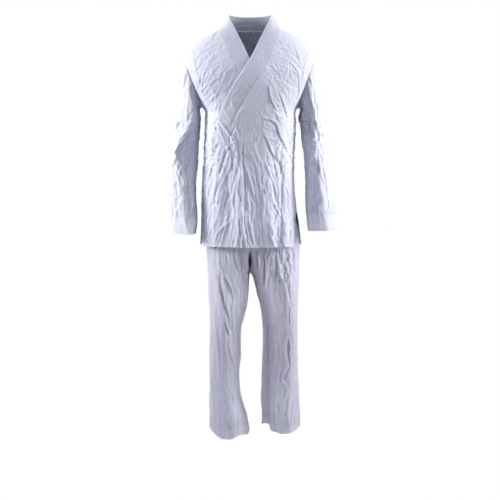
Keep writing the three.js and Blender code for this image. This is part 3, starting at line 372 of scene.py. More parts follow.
def sleeve_crumples(side):
    """A sleeve's. The right sleeve's front and back zones are the left one's, mirrored."""
    seed = 20 if side == "left" else 30
    front, back = crumpled(SLEEVE_CRUMPLES, seed), crumpled(SLEEVE_CRUMPLES, seed + 1)
    if side == "right":
        front, back = mirrored(front), mirrored(back)
    return {"front": front, "back": back, "left": crumpled(SLEEVE_SIDE_CRUMPLES, seed + 2),
            "right": crumpled(SLEEVE_SIDE_CRUMPLES, seed + 3)}


def leg_crumples():
    """The trouser legs', in the same zones from every side."""
    return {view: crumpled(LEG_CRUMPLES, 40 + number) for number, view in enumerate(VIEWS)}


# Reading a solid's grid

def turned_groups(cloth):
    """The faces in groups that no edge parts by more than LAYER_TURN, the largest area first."""
    seen, groups = set(), []
    for first in cloth.faces:
        if first in seen:
            continue
        seen.add(first)
        group, waiting = [], [first]
        while waiting:
            face = waiting.pop()
            group.append(face)
            for edge in face.edges:
                if edge.calc_face_angle(math.pi) < LAYER_TURN:
                    fresh = [other for other in edge.link_faces if other not in seen]
                    seen.update(fresh)
                    waiting.extend(fresh)
        groups.append(group)
    return sorted(groups, key=lambda group: -sum(face.calc_area() for face in group))


def outer_face(node):
    """The points of a wall's outer face, the points each is tied to, and its ties along the rim."""
    wall = bmesh.new()
    wall.from_mesh(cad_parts[node].data)
    bmesh.ops.remove_doubles(wall, verts=wall.verts, dist=SAME_POINT)
    wall.normal_update()
    wall.verts.index_update()
    outer, inner = turned_groups(wall)[:2]
    inside = {point for face in inner for point in face.verts}
    kept = {point for face in outer if not inside.intersection(face.verts) for point in face.verts}
    places = np.array([tuple(point.co) for point in wall.verts])
    normals = np.array([tuple(point.normal) for point in wall.verts])
    ties, rim = {}, {}
    for point in kept:
        near = [edge for edge in point.link_edges if edge.other_vert(point) in kept]
        ties[point.index] = [edge.other_vert(point).index for edge in near]
        at_rim = [edge for edge in near if any(not kept.issuperset(face.verts) for face in edge.link_faces)]
        if any(edge.other_vert(point) not in kept for edge in point.link_edges):
            rim[point.index] = [edge.other_vert(point).index for edge in at_rim]
    wall.free()
    return places, normals, ties, rim


def first_row(places, ties, rim, columns, start):
    """The grid's first row: one stretch of the rim between two corners, or the whole ring."""
    corners = [point for point in rim if len(ties[point]) <= 3]
    begin = max(corners or rim, key=lambda point: float(places[point] @ np.array(start)))
    for heading in rim[begin]:
        row = [begin, heading]
        while True:
            ahead = [point for point in rim[row[-1]] if point in rim and point not in row[-2:]]
            if not ahead or ahead[0] == begin or (corners and row[-1] in corners):
                break
            row.append(ahead[0])
        if len(row) == columns:
            return row
    raise ValueError(f"no first row of {columns} points from {tuple(places[begin])}")


def next_row(row, ties, seen, places, heading):
    """The points ahead of a row, in the row's order. heading is 0 or 1 once it is known."""
    ahead = {}
    for position, point in enumerate(row):
        for other in ties[point]:
            if other not in seen:
                ahead.setdefault(other, []).append(position)
    last = len(row) - 1
    pairs = {}
    for point, near in ahead.items():
        if len(near) > 2:
            pairs[point] = (0, 0)
        elif 0 in near and last in near:
            pairs[point] = (last, 0)
        else:
            pairs[point] = (min(near), max(near))
    if heading is None and pairs:
        votes = [np.linalg.norm(places[point] - places[row[low]])
                 - np.linalg.norm(places[point] - places[row[high]])
                 for point, (low, high) in pairs.items() if low != high]
        heading = int(sum(np.sign(votes)) > 0)
    return sorted(ahead, key=lambda point: pairs[point][heading]), heading


def read_grid(node, columns, start):
    """A wall's outer face as rows of points, with its outward normals. A ring ends on its first point."""
    places, normals, ties, rim = outer_face(node)
    row = first_row(places, ties, rim, columns, start)
    rows, seen, heading = [row], set(row), None
    while True:
        row, heading = next_row(row, ties, seen, places, heading)
        if not row:
            break
        rows.append(row)
        seen.update(row)
    width = max(len(row) for row in rows)
    whole = all(len(row) == width for row in rows) and row_closes(rows[0], ties)
    rows = [row + row[:1] if whole or len(row) < width else row for row in rows]
    return places[rows], normals[rows]


def row_closes(row, ties):
    """Whether a row's last point is tied to its first."""
    return row[0] in ties[row[-1]]


# Laying a finer surface through the grid

def chords(grid, axis):
    """The mean distance run along an axis of a grid, from 0."""
    steps = np.linalg.norm(np.diff(grid, axis=axis), axis=2)
    return np.concatenate([[0.0], np.cumsum(steps.mean(axis=1 - axis))])


def laid_through(values, knots, at, ring):
    """Smooth curves through rows of values: at each row the slope of the parabola through three."""
    if ring:
        total = knots[-1]
        values = np.concatenate([values[-3:-1], values, values[1:3]])
        knots = np.concatenate([knots[-3:-1] - total, knots, knots[1:3] + total])
    gaps = np.diff(knots)
    rises = np.diff(values, axis=0) / gaps[:, None, None]
    slopes = np.concatenate([rises[:1], np.zeros_like(rises[1:]), rises[-1:]])
    before, after = gaps[:-1, None, None], gaps[1:, None, None]
    slopes[1:-1] = (rises[:-1] * after + rises[1:] * before) / (before + after)
    step = np.clip(np.searchsorted(knots, at, side="right") - 1, 0, len(gaps) - 1)
    gap = gaps[step][:, None, None]
    part = ((at - knots[step]) / gaps[step])[:, None, None]
    start, end = values[step], values[step + 1]
    rise_start, rise_end = slopes[step] * gap, slopes[step + 1] * gap
    bend = part * part * (3 - 2 * part)
    return (start + (end - start) * bend
            + rise_start * part * (1 - part) ** 2 - rise_end * part * part * (1 - part))


def samples(total, spacing, extra=()):
    """Spaced distances from 0 to a total, with a few more where a seam or hem needs them.

    The spacing is one step, or a step for the first half and one for the second."""
    steps = spacing if isinstance(spacing, tuple) else (spacing, spacing)
    half = total / 2
    first, second = (max(1, math.ceil(half / step)) for step in steps)
    even = np.concatenate([np.linspace(0.0, half, first + 1), np.linspace(half, total, second + 1)])
    more = [value for value in extra if 0 < value < total]
    return np.unique(np.round(np.concatenate([even, more]), 6))


def evened(rows, span, ends):
    """Rows of points after a Gaussian average over a span of rows. ends is edge or wrap, as numpy pads."""
    reach = math.ceil(2.2 * span)
    weights = np.exp(-(np.arange(-reach, reach + 1) / span) ** 2)
    weights /= weights.sum()
    padded = np.pad(rows, ((reach, reach), (0, 0), (0, 0)), mode=ends)
    return sum(weight * padded[at:at + len(rows)] for at, weight in enumerate(weights))


class Surface:
    """A fine grid of points on a cloth piece, with outward normals and flat cloth coordinates."""

    def __init__(self, node, spacing, extra_rows=(), extra_columns=()):
        grid, normals = read_grid(node, PIECES[node].columns, PIECES[node].start)
        steps = np.linalg.norm(np.diff(grid, axis=0), axis=2).mean(axis=1)
        kept = [0] + [row + 1 for row, step in enumerate(steps)
                      if step > TURN_STEP or row > TURN_ROWS or row + 2 == len(grid)]
        grid, normals = grid[kept], normals[kept]
        self.closes = np.linalg.norm(grid[:, 0] - grid[:, -1], axis=1) < SAME_POINT
        down, across = chords(grid, 0), chords(grid, 1)
        rows = samples(down[-1], spacing[0], extra_rows)
        cols = samples(across[-1], spacing[1], extra_columns)
        ring = bool(self.closes.all())
        fine = laid_through(grid, down, rows, False)
        fine = laid_through(fine.transpose(1, 0, 2), across, cols, ring).transpose(1, 0, 2)
        self.points, self.down, self.across, self.ring = fine, rows, cols, ring
        if not ring and self.closes.any():
            joined = np.interp(rows, down, self.closes.astype(float)) > 0.999
            self.points[joined, -1] = self.points[joined, 0]
            self.joined = joined
        else:
            self.joined = np.full(len(rows), ring)
        self.outward = 1.0 if self.agrees(grid, normals) else -1.0
        self.doubled = np.zeros(self.points.shape[:2])

    def agrees(self, grid, normals):
        """Whether the grid's own winding points the way the solid's faces do."""
        across = np.gradient(grid, axis=1)
        down = np.gradient(grid, axis=0)
        return float((np.cross(across, down) * normals).sum()) > 0

    def distances(self):
        """Distances down and across the cloth, at every point."""
        return np.meshgrid(self.down, self.across, indexing="ij")

    def normals(self):
        """Outward normals at every point of the fine grid."""
        across = np.gradient(self.points, axis=1)
        joined = self.joined
        wrap = (self.points[joined, 1] - self.points[joined, -2]) / 2
        across[joined, 0] = wrap
        across[joined, -1] = wrap
        down = np.gradient(self.points, axis=0)
        both = (down[joined, 0] + down[joined, -1]) / 2
        down[joined, 0] = both
        down[joined, -1] = both
        normal = np.cross(across, down) * self.outward
        return normal / np.maximum(np.linalg.norm(normal, axis=2, keepdims=True), 1e-12)

    def soften(self, reach, margin):
        """Evens out the form over a distance, and leaves the ends and open side edges as they are."""
        ends = np.minimum(self.down, self.down[-1] - self.down)
        edge = np.minimum(self.across, self.across[-1] - self.across)
        near_end = np.clip(ends / margin, 0, 1)[:, None, None]
        near_edge = np.clip(edge / margin, 0, 1)[None, :, None]
        even = evened(self.points, reach / np.median(np.diff(self.down)), "edge")
        self.points = self.points + (even - self.points) * near_end * near_edge
        turned = self.points.transpose(1, 0, 2)
        span = reach / np.median(np.diff(self.across))
        even = evened(turned, span, "edge").transpose(1, 0, 2)
        rings = evened(turned[:-1], span, "wrap").transpose(1, 0, 2)
        rings = np.concatenate([rings, rings[:, :1]], axis=1)
        joined = self.joined[:, None, None]
        moved = np.where(joined, rings - self.points, (even - self.points) * near_edge) * near_end
        self.points = self.points + moved

    def lift(self, heights):
        """Moves every point out along its normal by a height."""
        self.points = self.points + self.normals() * heights[..., None]

    def at(self, down, across):
        """Points and normals at distances down and across the cloth."""
        normals = self.normals()
        row = np.interp(down, self.down, np.arange(len(self.down)))
        col = np.interp(across, self.across, np.arange(len(self.across)))
        low_row = np.clip(row.astype(int), 0, len(self.down) - 2)
        low_col = np.clip(col.astype(int), 0, len(self.across) - 2)
        part_row, part_col = (row - low_row)[:, None], (col - low_col)[:, None]

        def blend(field):
            near = field[low_row, low_col] * (1 - part_col) + field[low_row, low_col + 1] * part_col
            far = field[low_row + 1, low_col] * (1 - part_col) + field[low_row + 1, low_col + 1] * part_col
            return near * (1 - part_row) + far * part_row

        return blend(self.points), blend(normals)


# Creasing

VIEWS = {"front": (0, 1, -1), "back": (0, 1, 1), "left": (1, 0, 1), "right": (1, 0, -1)}
LINE_STEP = 11 * MM

# How far a fold reaches and where its lean lies, in its widths, and how soon it thins at its ends
FOLD_REACH = 3.2
LEAN_PLACE = 1.5
TAPER = 0.55

# A fold fades between these two cosines, as the cloth turns away from the side it is seen from
FACING = (0.1, 0.55)

# A small crease runs through four places along its length, bent by up to this part of its half
CREASE_PLACES = (-1, -0.3, 0.4, 1)
CREASE_BOW = 0.08


def soft_line(line):
    """A smooth curve through a fold's points, as short straight steps, in metres."""
    points = np.array(line, float) * MM
    if len(points) < 3:
        return points
    knots = np.concatenate([[0.0], np.cumsum(np.linalg.norm(np.diff(points, axis=0), axis=1))])
    at = np.linspace(0, knots[-1], max(4, math.ceil(knots[-1] / LINE_STEP)) + 1)
    return laid_through(points[:, None, :], knots, at, False)[:, 0]


def press(flat, crease, heights, strength):
    """Adds a fold's height to the points near it. flat holds each point's place in the view."""
    line = soft_line(crease.line)
    width = crease.width * MM
    reach = FOLD_REACH * width
    low, high = line.min(axis=0) - reach, line.max(axis=0) + reach
    near = np.nonzero(((flat > low) & (flat < high)).all(axis=1))[0]
    if not len(near):
        return
    place = flat[near]
    best = np.full(len(near), np.inf)
    side = np.zeros(len(near))
    run = np.zeros(len(near))
    lengths = np.linalg.norm(np.diff(line, axis=0), axis=1)
    total = lengths.sum()
    so_far = 0.0
    for start, end, length in zip(line[:-1], line[1:], lengths):
        along = (end - start) / length
        offset = place - start
        part = np.clip(offset @ along, 0, length)
        away = offset - part[:, None] * along
        distance = np.linalg.norm(away, axis=1)
        closer = distance < best
        best[closer] = distance[closer]
        side[closer] = np.sign(offset[closer, 0] * along[1] - offset[closer, 1] * along[0])
        run[closer] = (so_far + part[closer]) / total
        so_far += length
    taper = np.power(np.clip(4 * run * (1 - run), 0, 1), TAPER)
    signed = best * side
    shape = np.exp(-(signed / width) ** 2)
    if crease.lean:
        beside = math.copysign(LEAN_PLACE * width, crease.lean)
        shape = shape - abs(crease.lean) * np.exp(-((signed - beside) / width) ** 2)
    heights[near] += strength * crease.height * MM * shape * taper


def crumpled(zones, seed):
    """Small creases scattered through zones, each a slightly bent line."""
    chance = random.Random(seed)
    creases = []
    for zone in zones:
        left, low, right, high = zone.zone
        for _ in range(zone.count):
            middle = (chance.uniform(left, right), chance.uniform(low, high))
            angle = math.radians(zone.angle + chance.gauss(0, zone.spread))
            half = chance.uniform(*zone.length) / 2
            bow = chance.uniform(-CREASE_BOW, CREASE_BOW) * half
            along = (math.sin(angle), math.cos(angle))
            aside = (along[1], -along[0])
            line = [(middle[0] + along[0] * half * way + aside[0] * bow * (1 - way * way),
                     middle[1] + along[1] * half * way + aside[1] * bow * (1 - way * way))
                    for way in CREASE_PLACES]
            height = chance.uniform(*zone.height) * chance.choice((1, 1, -1))
            width = chance.uniform(*zone.width)
            creases.append(Fold(height, width, chance.choice((0, 0, 0.5, -0.5)), line))
    return creases


def creased(surface, folds, strength=1.0):
    """Presses folds into a surface from the four sides, each fading where the cloth turns away."""
    points = surface.points.reshape(-1, 3)
    normals = surface.normals().reshape(-1, 3)
    heights = np.zeros(len(points))
    for view, creases in folds.items():
        axis, depth, sign = VIEWS[view]
        facing = smooth_step(normals[:, depth] * sign, *FACING)
        seen = np.nonzero(facing > 0)[0]
        flat = points[seen][:, [axis, 2]]
        part = np.zeros(len(seen))
        for crease in creases:
            press(flat, crease, part, strength)
        heights[seen] += part * facing[seen]
    return heights.reshape(surface.points.shape[:2])


def smooth_step(value, start, end):
    """0 up to start, 1 from end, and a soft change between."""
    part = np.clip((value - start) / (end - start), 0, 1)
    return part * part * (3 - 2 * part)


def seam_dip(distance, depth, width):
    """How far cloth sinks beside a seam at a distance from it."""
    return -depth * np.exp(-(distance / width) ** 2)


# Making the meshes

def cloth_object(name, surface, thickness, material):
    """A shell of cloth on a surface, with its flat coordinates in metres as its UV map."""
    rows, cols = surface.points.shape[:2]
    sheet = bmesh.new()
    bmesh.ops.create_grid(sheet, x_segments=cols - 1, y_segments=rows - 1, size=0.5)
    mesh = bpy.data.meshes.new(name)
    sheet.to_mesh(mesh)
    sheet.free()
    where = np.empty(len(mesh.vertices) * 3)
    mesh.vertices.foreach_get("co", where)
    where = where.reshape(-1, 3)
    col = np.rint((where[:, 0] + 0.5) * (cols - 1)).astype(int)
    row = np.rint((where[:, 1] + 0.5) * (rows - 1)).astype(int)
    mesh.vertices.foreach_set("co", surface.points[row, col].ravel())
    corner = np.empty(len(mesh.loops), np.int32)
    mesh.loops.foreach_get("vertex_index", corner)
    flat = np.stack([surface.across[col], surface.down[row]], axis=1)[corner]
    layer = mesh.uv_layers.get("cloth") or mesh.uv_layers.new(name="cloth")
    layer.data.foreach_set("uv", flat.ravel())
    doubled = mesh.attributes.new(name="doubled", type="FLOAT", domain="POINT")
    doubled.data.foreach_set("value", surface.doubled[row, col].astype(np.float32))
    sheet = bmesh.new()
    sheet.from_mesh(mesh)
    if surface.joined.any():
        bmesh.ops.remove_doubles(sheet, verts=sheet.verts, dist=SAME_POINT)
    if surface.outward < 0:
        bmesh.ops.reverse_faces(sheet, faces=sheet.faces)
    for face in sheet.faces:
        face.smooth = True
    for edge in sheet.edges:
        if edge.is_boundary:
            edge.smooth = False
    sheet.to_mesh(mesh)
    sheet.free()
    piece = bpy.data.objects.new(name, mesh)
    bpy.context.scene.collection.objects.link(piece)
    mesh.materials.append(material)
    shell = piece.modifiers.new("cloth thickness", "SOLIDIFY")
    shell.thickness = thickness
    shell.offset = -1
    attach(piece, "root")
    return piece


# A stitch's rings: place along it in stitch lengths, then half width and rise in thread widths
STITCH_RINGS = ((-0.5, 0.0, -0.35), (-0.34, 0.5, 0.25), (0.0, 0.62, 0.5), (0.34, 0.5, 0.25),
                (0.5, 0.0, -0.35))


def read_along(run, values, at):
    """Values given at distances run along a row, read at other distances."""
    return np.stack([np.interp(at, run, values[:, axis]) for axis in range(3)], axis=1)


def stitches(name, lines, settings, material):
    """Rows of stitches as one joined mesh. Each line is (points, normals) along a row."""
    length, pitch, thread = settings.stitch_length, settings.stitch_pitch, settings.thread_width
    centres, alongs, ups = [], [], []
    for points, normals in lines:
        run = np.concatenate([[0.0], np.cumsum(np.linalg.norm(np.diff(points, axis=0), axis=1))])
        at = np.arange(pitch / 2, run[-1], pitch)
        centre = read_along(run, points, at)
        up = read_along(run, normals, at)
        along = read_along(run, points, at + length / 2) - read_along(run, points, at - length / 2)
        size = np.linalg.norm(along, axis=1, keepdims=True)
        good = size[:, 0] > length / 2
        centres.append(centre[good])
        alongs.append((along / size)[good])
        ups.append((up / np.linalg.norm(up, axis=1, keepdims=True))[good])
    centre, along, up = np.concatenate(centres), np.concatenate(alongs), np.concatenate(ups)
    aside = np.cross(along, up)
    count = len(centre)
    rings = []
    for way, half, rise in STITCH_RINGS:
        middle = centre + along * way * length + up * rise * thread
        turns = ((0, 0),) if half == 0 else ((1, 0), (0, 1), (-1, 0), (0, -1))
        rings += [middle + aside * half * thread * side + up * half * thread * top for side, top in turns]
    points = np.stack(rings, axis=1).reshape(-1, 3)
    shape = []
    for ring in range(2):
        base = 1 + 4 * ring
        shape += [(base + turn, base + (turn + 1) % 4, base + 4 + (turn + 1) % 4, base + 4 + turn)
                  for turn in range(4)]
    tips = [(0, 1 + (turn + 1) % 4, 1 + turn) for turn in range(4)]
    tips += [(13, 9 + turn, 9 + (turn + 1) % 4) for turn in range(4)]
    faces = [tuple(14 * stitch + corner for corner in face)
             for stitch in range(count) for face in shape + tips]
    mesh = bpy.data.meshes.new(name)
    mesh.from_pydata(points.tolist(), [], faces)
    mesh.polygons.foreach_set("use_smooth", [True] * len(mesh.polygons))
    piece = bpy.data.objects.new(name, mesh)
    bpy.context.scene.collection.objects.link(piece)
    mesh.materials.append(material)
    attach(piece, "root")
    return piece


# Cloth and thread materials

def shader_node(tree, kind, at, **values):
    """A shader node at a place in the tree, with its properties and unlinked inputs set."""
    made = tree.nodes.new(kind)
    made.location = at
    for key, value in values.items():
        if hasattr(made, key):
            setattr(made, key, value)
        else:
            made.inputs[key.replace("_", " ")].default_value = value
    return made


def new_material(name, **values):
    """A node material, its tree, and its main shader with its unlinked inputs set."""
    material = bpy.data.materials.new(name)
    material.use_nodes = True
    surface = material.node_tree.nodes["Principled BSDF"]
    for key, value in values.items():
        surface.inputs[key.replace("_", " ")].default_value = value
    return material, material.node_tree, surface


# A wave texture's bands turn by this many radians a unit at scale 1
BAND_TURN = 20

# How far the threads of the weave stand out, and how clearly they and the slubs do
WEAVE_DEPTH = 0.2 * MM
WEAVE_STRENGTH = 0.35
SLUB_STRENGTH = 0.6

# How much the slubs across and the slow tone add to the shade, and how white doubled cloth gets
CROSS_SLUBS = 0.25
SLOW_TONE = 0.55
WHITER = 1.09
WHITEST = 0.93


def cotton(name, light, dark, settings, streaks=0.3, crinkle=0.6, grain=(70.0, 19.0, 1.0),
           slub_scale=420.0, slub_depth=0.25 * MM):
    """Washed cotton: a plain weave, slubs along the warp, fine crinkles and slow changes of tone."""
    material, tree, surface = new_material(
        name, Roughness=settings.roughness, Specular_IOR_Level=0.12, Sheen_Weight=settings.sheen,
        Sheen_Roughness=0.55)
    link = tree.links.new
    place = shader_node(tree, "ShaderNodeTexCoord", (-1100, 0))

    def stretched(source, scale, at):
        """Cloth or object coordinates, stretched."""
        mapping = shader_node(tree, "ShaderNodeMapping", at, Scale=scale)
        link(place.outputs[source], mapping.inputs["Vector"])
        return mapping.outputs["Vector"]

    def noise(vector, detail, at, distortion=0.0):
        """A noise as fine as its coordinates are stretched."""
        made = shader_node(tree, "ShaderNodeTexNoise", at, Scale=1.0, Detail=detail,
                           Distortion=distortion)
        link(vector, made.inputs["Vector"])
        return made.outputs["Fac"]

    def maths(kind, first, second, at):
        """What a math node makes of an output and a number, or of two outputs."""
        made = shader_node(tree, "ShaderNodeMath", at, operation=kind)
        link(first, made.inputs[0])
        if isinstance(second, float):
            made.inputs[1].default_value = second
        else:
            link(second, made.inputs[1])
        return made.outputs[0]

    flat = stretched("UV", (1, 1, 1), (-900, 300))
    threads = []
    for direction, height in (("X", 420), ("Y", 260)):
        wave = shader_node(tree, "ShaderNodeTexWave", (-650, height), wave_type="BANDS",
                           bands_direction=direction, wave_profile="SIN", Distortion=0.6,
                           Scale=2 * math.pi / (BAND_TURN * settings.thread_pitch))
        link(flat, wave.inputs["Vector"])
        threads.append(wave.outputs["Fac"])
    weave = maths("MULTIPLY", *threads, (-450, 340))
    slubs = noise(stretched("UV", (slub_scale, 7, 1), (-900, 60)), 3.0, (-650, 60))
    cross_slubs = noise(stretched("UV", (8, 380, 1), (-900, -80)), 2.0, (-650, -80))
    tone = noise(stretched("Object", (5, 5, 3), (-900, -400)), 3.0, (-650, -400))
    # long wandering crease lines: a noise folded over at its middle value
    waves = noise(stretched("UV", grain, (-900, -240)), 2.5, (-650, -240), 0.7)
    crinkles = maths("ABSOLUTE", maths("SUBTRACT", waves, 0.5, (-500, -300)), 0.0, (-350, -300))
    slubbed = maths("ADD", slubs, maths("MULTIPLY", cross_slubs, CROSS_SLUBS, (-450, -120)), (-300, 20))
    streaked = maths("MULTIPLY", slubbed, streaks, (-150, 20))
    shade = maths("ADD", streaked, maths("MULTIPLY", tone, SLOW_TONE, (-450, -400)), (-50, -60))
    ramp = shader_node(tree, "ShaderNodeValToRGB", (50, 60))
    mean_shade = 0.625 * streaks + 0.275
    half_range = 0.12 * streaks + 0.05
    ramp.color_ramp.elements[0].position = mean_shade - half_range
    ramp.color_ramp.elements[0].color = (*light, 1)
    ramp.color_ramp.elements[1].position = min(1.0, mean_shade + half_range)
    ramp.color_ramp.elements[1].color = (*dark, 1)
    link(shade, ramp.inputs["Fac"])
    layers = shader_node(tree, "ShaderNodeAttribute", (50, -120), attribute_name="doubled")
    whiter = shader_node(tree, "ShaderNodeMix", (350, 60), data_type="RGBA",
                         B=(*[min(WHITEST, WHITER * part) for part in light], 1))
    link(layers.outputs["Fac"], whiter.inputs["Factor"])
    link(ramp.outputs["Color"], whiter.inputs["A"])
    link(whiter.outputs["Result"], surface.inputs["Base Color"])
    normal = None
    for height, depth, strength in ((crinkles, settings.crinkle_depth, crinkle),
                                    (slubs, slub_depth, SLUB_STRENGTH),
                                    (weave, WEAVE_DEPTH, WEAVE_STRENGTH)):
        bump = shader_node(tree, "ShaderNodeBump", (300, -200), Strength=strength, Distance=depth)
        link(height, bump.inputs["Height"])
        if normal is not None:
            link(normal, bump.inputs["Normal"])
        normal = bump.outputs["Normal"]
    link(normal, surface.inputs["Normal"])
    return material


def thread(name, colour):
    """Twisted cotton sewing thread."""
    material, tree, surface = new_material(name, Roughness=0.7, Sheen_Weight=0.15)
    link = tree.links.new
    place = shader_node(tree, "ShaderNodeTexCoord", (-700, 0))
    fibre = shader_node(tree, "ShaderNodeTexNoise", (-500, 0), Scale=900.0)
    link(place.outputs["Object"], fibre.inputs["Vector"])
    ramp = shader_node(tree, "ShaderNodeValToRGB", (-300, 0))
    ramp.color_ramp.elements[0].color = (*[part * 0.82 for part in colour], 1)
    ramp.color_ramp.elements[1].color = (*colour, 1)
    link(fibre.outputs["Fac"], ramp.inputs["Fac"])
    link(ramp.outputs["Color"], surface.inputs["Base Color"])
    bump = shader_node(tree, "ShaderNodeBump", (-200, -200), Distance=0.1 * MM)
    link(fibre.outputs["Fac"], bump.inputs["Height"])
    link(bump.outputs["Normal"], surface.inputs["Normal"])
    return material


def shared(name, make):
    """A material by name, made the first time it is asked for."""
    return bpy.data.materials.get(name) or make(name)


# Settings

class GI_PG_cloth(bpy.types.PropertyGroup):
    """Sizes and colours of the cloth and its sewing."""

    cloth_thickness: bpy.props.FloatProperty(
        name="Cloth thickness", description="Thickness of the jacket's and trousers' cotton",
        default=1.2 * MM, unit="LENGTH")
    band_thickness: bpy.props.FloatProperty(
        name="Collar thickness", description="Thickness of the quilted collar band",
        default=3.0 * MM, unit="LENGTH")
    mesh_step: bpy.props.FloatProperty(
        name="Mesh step", description="Distance between the points of the fronts' mesh",
        default=2.6 * MM, unit="LENGTH")
    plain_mesh_step: bpy.props.FloatProperty(
        name="Plain mesh step", description="Distance between the points on the back and trousers",
        default=3.7 * MM, unit="LENGTH")
    fold_strength: bpy.props.FloatProperty(
        name="Folds", description="How deep the hand-placed folds are", default=1.15)
    crumple_strength: bpy.props.FloatProperty(
        name="Crumples", description="How deep the small scattered creases are", default=1.75)
    crinkle_depth: bpy.props.FloatProperty(
        name="Crinkle depth", description="Depth of the finest crinkles in the cloth's surface",
        default=7.0 * MM, unit="LENGTH")
    thread_pitch: bpy.props.FloatProperty(
        name="Thread pitch", description="Distance between two threads of the weave",
        default=1.1 * MM, unit="LENGTH")
    stitch_length: bpy.props.FloatProperty(
        name="Stitch length", description="Length of one sewn stitch", default=2.8 * MM, unit="LENGTH")
    stitch_pitch: bpy.props.FloatProperty(
        name="Stitch pitch", description="Distance from one stitch to the next",
        default=4.2 * MM, unit="LENGTH")
    thread_width: bpy.props.FloatProperty(
        name="Sewing thread", description="Width of the sewing thread", default=0.75 * MM, unit="LENGTH")
    roughness: bpy.props.FloatProperty(
        name="Roughness", description="Roughness of the cotton", default=0.92, subtype="FACTOR")
    sheen: bpy.props.FloatProperty(
        name="Nap", description="Soft sheen of the cotton's nap", default=0.25, subtype="FACTOR")
    jacket_light: bpy.props.FloatVectorProperty(
        name="Jacket cotton", description="Main colour of the jacket", subtype="COLOR", size=3,
        default=(0.81, 0.815, 0.86))
    jacket_dark: bpy.props.FloatVectorProperty(
        name="Jacket shade", description="Darker tone in the jacket's cotton", subtype="COLOR", size=3,
        default=(0.7, 0.705, 0.79))
    trouser_light: bpy.props.FloatVectorProperty(
        name="Trouser cotton", description="Main colour of the trousers", subtype="COLOR", size=3,
        default=(0.77, 0.76, 0.82))
    trouser_dark: bpy.props.FloatVectorProperty(
        name="Trouser shade", description="Darker tone in the trousers' cotton", subtype="COLOR", size=3,
        default=(0.63, 0.615, 0.68))
    thread_colour: bpy.props.FloatVectorProperty(
        name="Sewing thread colour", description="Colour of the sewing thread", subtype="COLOR", size=3,
        default=(0.57, 0.54, 0.53))


class GI_PG_studio(bpy.types.PropertyGroup):
    """The camera, the lights and the floor."""

    lens: bpy.props.FloatProperty(name="Lens", description="Focal length in millimetres", default=84.0)
    distance: bpy.props.FloatProperty(
        name="Camera distance", description="How far in front the camera stands", default=4.0,
        unit="LENGTH")
    camera_height: bpy.props.FloatProperty(
        name="Camera height", description="Camera height in the gi's own frame", default=-0.386,
        unit="LENGTH")
    aim_height: bpy.props.FloatProperty(
        name="Aim height", description="Height of the point in the picture's middle", default=-0.746,
        unit="LENGTH")
    side_power: bpy.props.FloatProperty(
        name="Side lights", description="Power of each side light", default=8.2, unit="POWER")
    top_power: bpy.props.FloatProperty(
        name="Top light", description="Power of the light above", default=17.0, unit="POWER")
    chest_power: bpy.props.FloatProperty(
        name="Chest lights", description="Power of each light half in front", default=1.1, unit="POWER")
    hem_power: bpy.props.FloatProperty(
        name="Hem light", description="Power of the narrow light on the jacket's low right", default=0.1,
        unit="POWER")
    back_power: bpy.props.FloatProperty(
        name="Back light", description="Power of the soft light behind", default=13.0, unit="POWER")
    leg_power: bpy.props.FloatProperty(
        name="Leg light", description="Power of the low lights beside the legs", default=1.9, unit="POWER")
    fill: bpy.props.FloatProperty(
        name="Fill", description="Strength of the light from all round", default=0.19)


def cloth_settings():
    """The cloth's settings in this scene."""
    return bpy.context.scene.gi_cloth


def jacket_cotton():
    """The jacket's cotton, finely wrinkled."""
    settings = cloth_settings()
    return shared("jacket_cotton", lambda name: cotton(
        name, settings.jacket_light, settings.jacket_dark, settings))


def trouser_cotton():
    """The trousers' cotton, with clear streaks down the leg."""
    settings = cloth_settings()
    return shared("trouser_cotton", lambda name: cotton(
        name, settings.trouser_light, settings.trouser_dark, settings, streaks=0.8, crinkle=0.8,
        grain=(95.0, 7.0, 1.0), slub_scale=200.0, slub_depth=1.1 * MM))


def sewing_thread():
    """The thread of every stitch row."""
    settings = cloth_settings()
    return shared("sewing_thread", lambda name: thread(name, settings.thread_colour))


# The pieces

class Piece(NamedTuple):
    """How a solid is read, its slot, and its flat cut as it shows, in metres.

    The grid has so many columns, and start points from the middle to its first row's corner."""

    columns: int
    start: tuple
    slot: str
    flat: tuple
    area: float | None
    held: str


PIECES = {
    "jacket_back": Piece(43, (-1, 0, -5), "jacket_cloth", (0.53, 0.75), 0.33, "draped"),
    "jacket_front_left": Piece(16, (-1, 0, -5), "jacket_cloth", (0.30, 0.79), 0.176, "draped"),
    "jacket_front_right": Piece(16, (1, 0, -5), "jacket_cloth", (0.30, 0.79), 0.176, "draped"),
    "collar_band": Piece(4, (0.5, 0, -1), "collar_cloth", (0.05, 1.22), 0.061, "folded"),
    "sleeve_left": Piece(22, (-0.3, 0, -5), "jacket_cloth", (0.34, 0.62), None, "draped"),
    "sleeve_right": Piece(22, (0.3, 0, -5), "jacket_cloth", (0.34, 0.62), None, "draped"),
    "shoulder_lining_left": Piece(16, (0, 0, -1), "jacket_cloth", (0.14, 0.19), None, "laid"),
    "shoulder_lining_right": Piece(16, (0, 0, -1), "jacket_cloth", (0.14, 0.19), None, "laid"),
    "trouser_leg_left": Piece(27, (0, -1, 10), "trouser_cloth", (0.50, 0.90), 0.384, "draped"),
    "trouser_leg_right": Piece(27, (0, -1, 10), "trouser_cloth", (0.50, 0.90), 0.384, "draped"),
    "waistband": Piece(52, (0, -1, -5), "trouser_cloth", (0.04, 0.74), None, "gathered"),
}

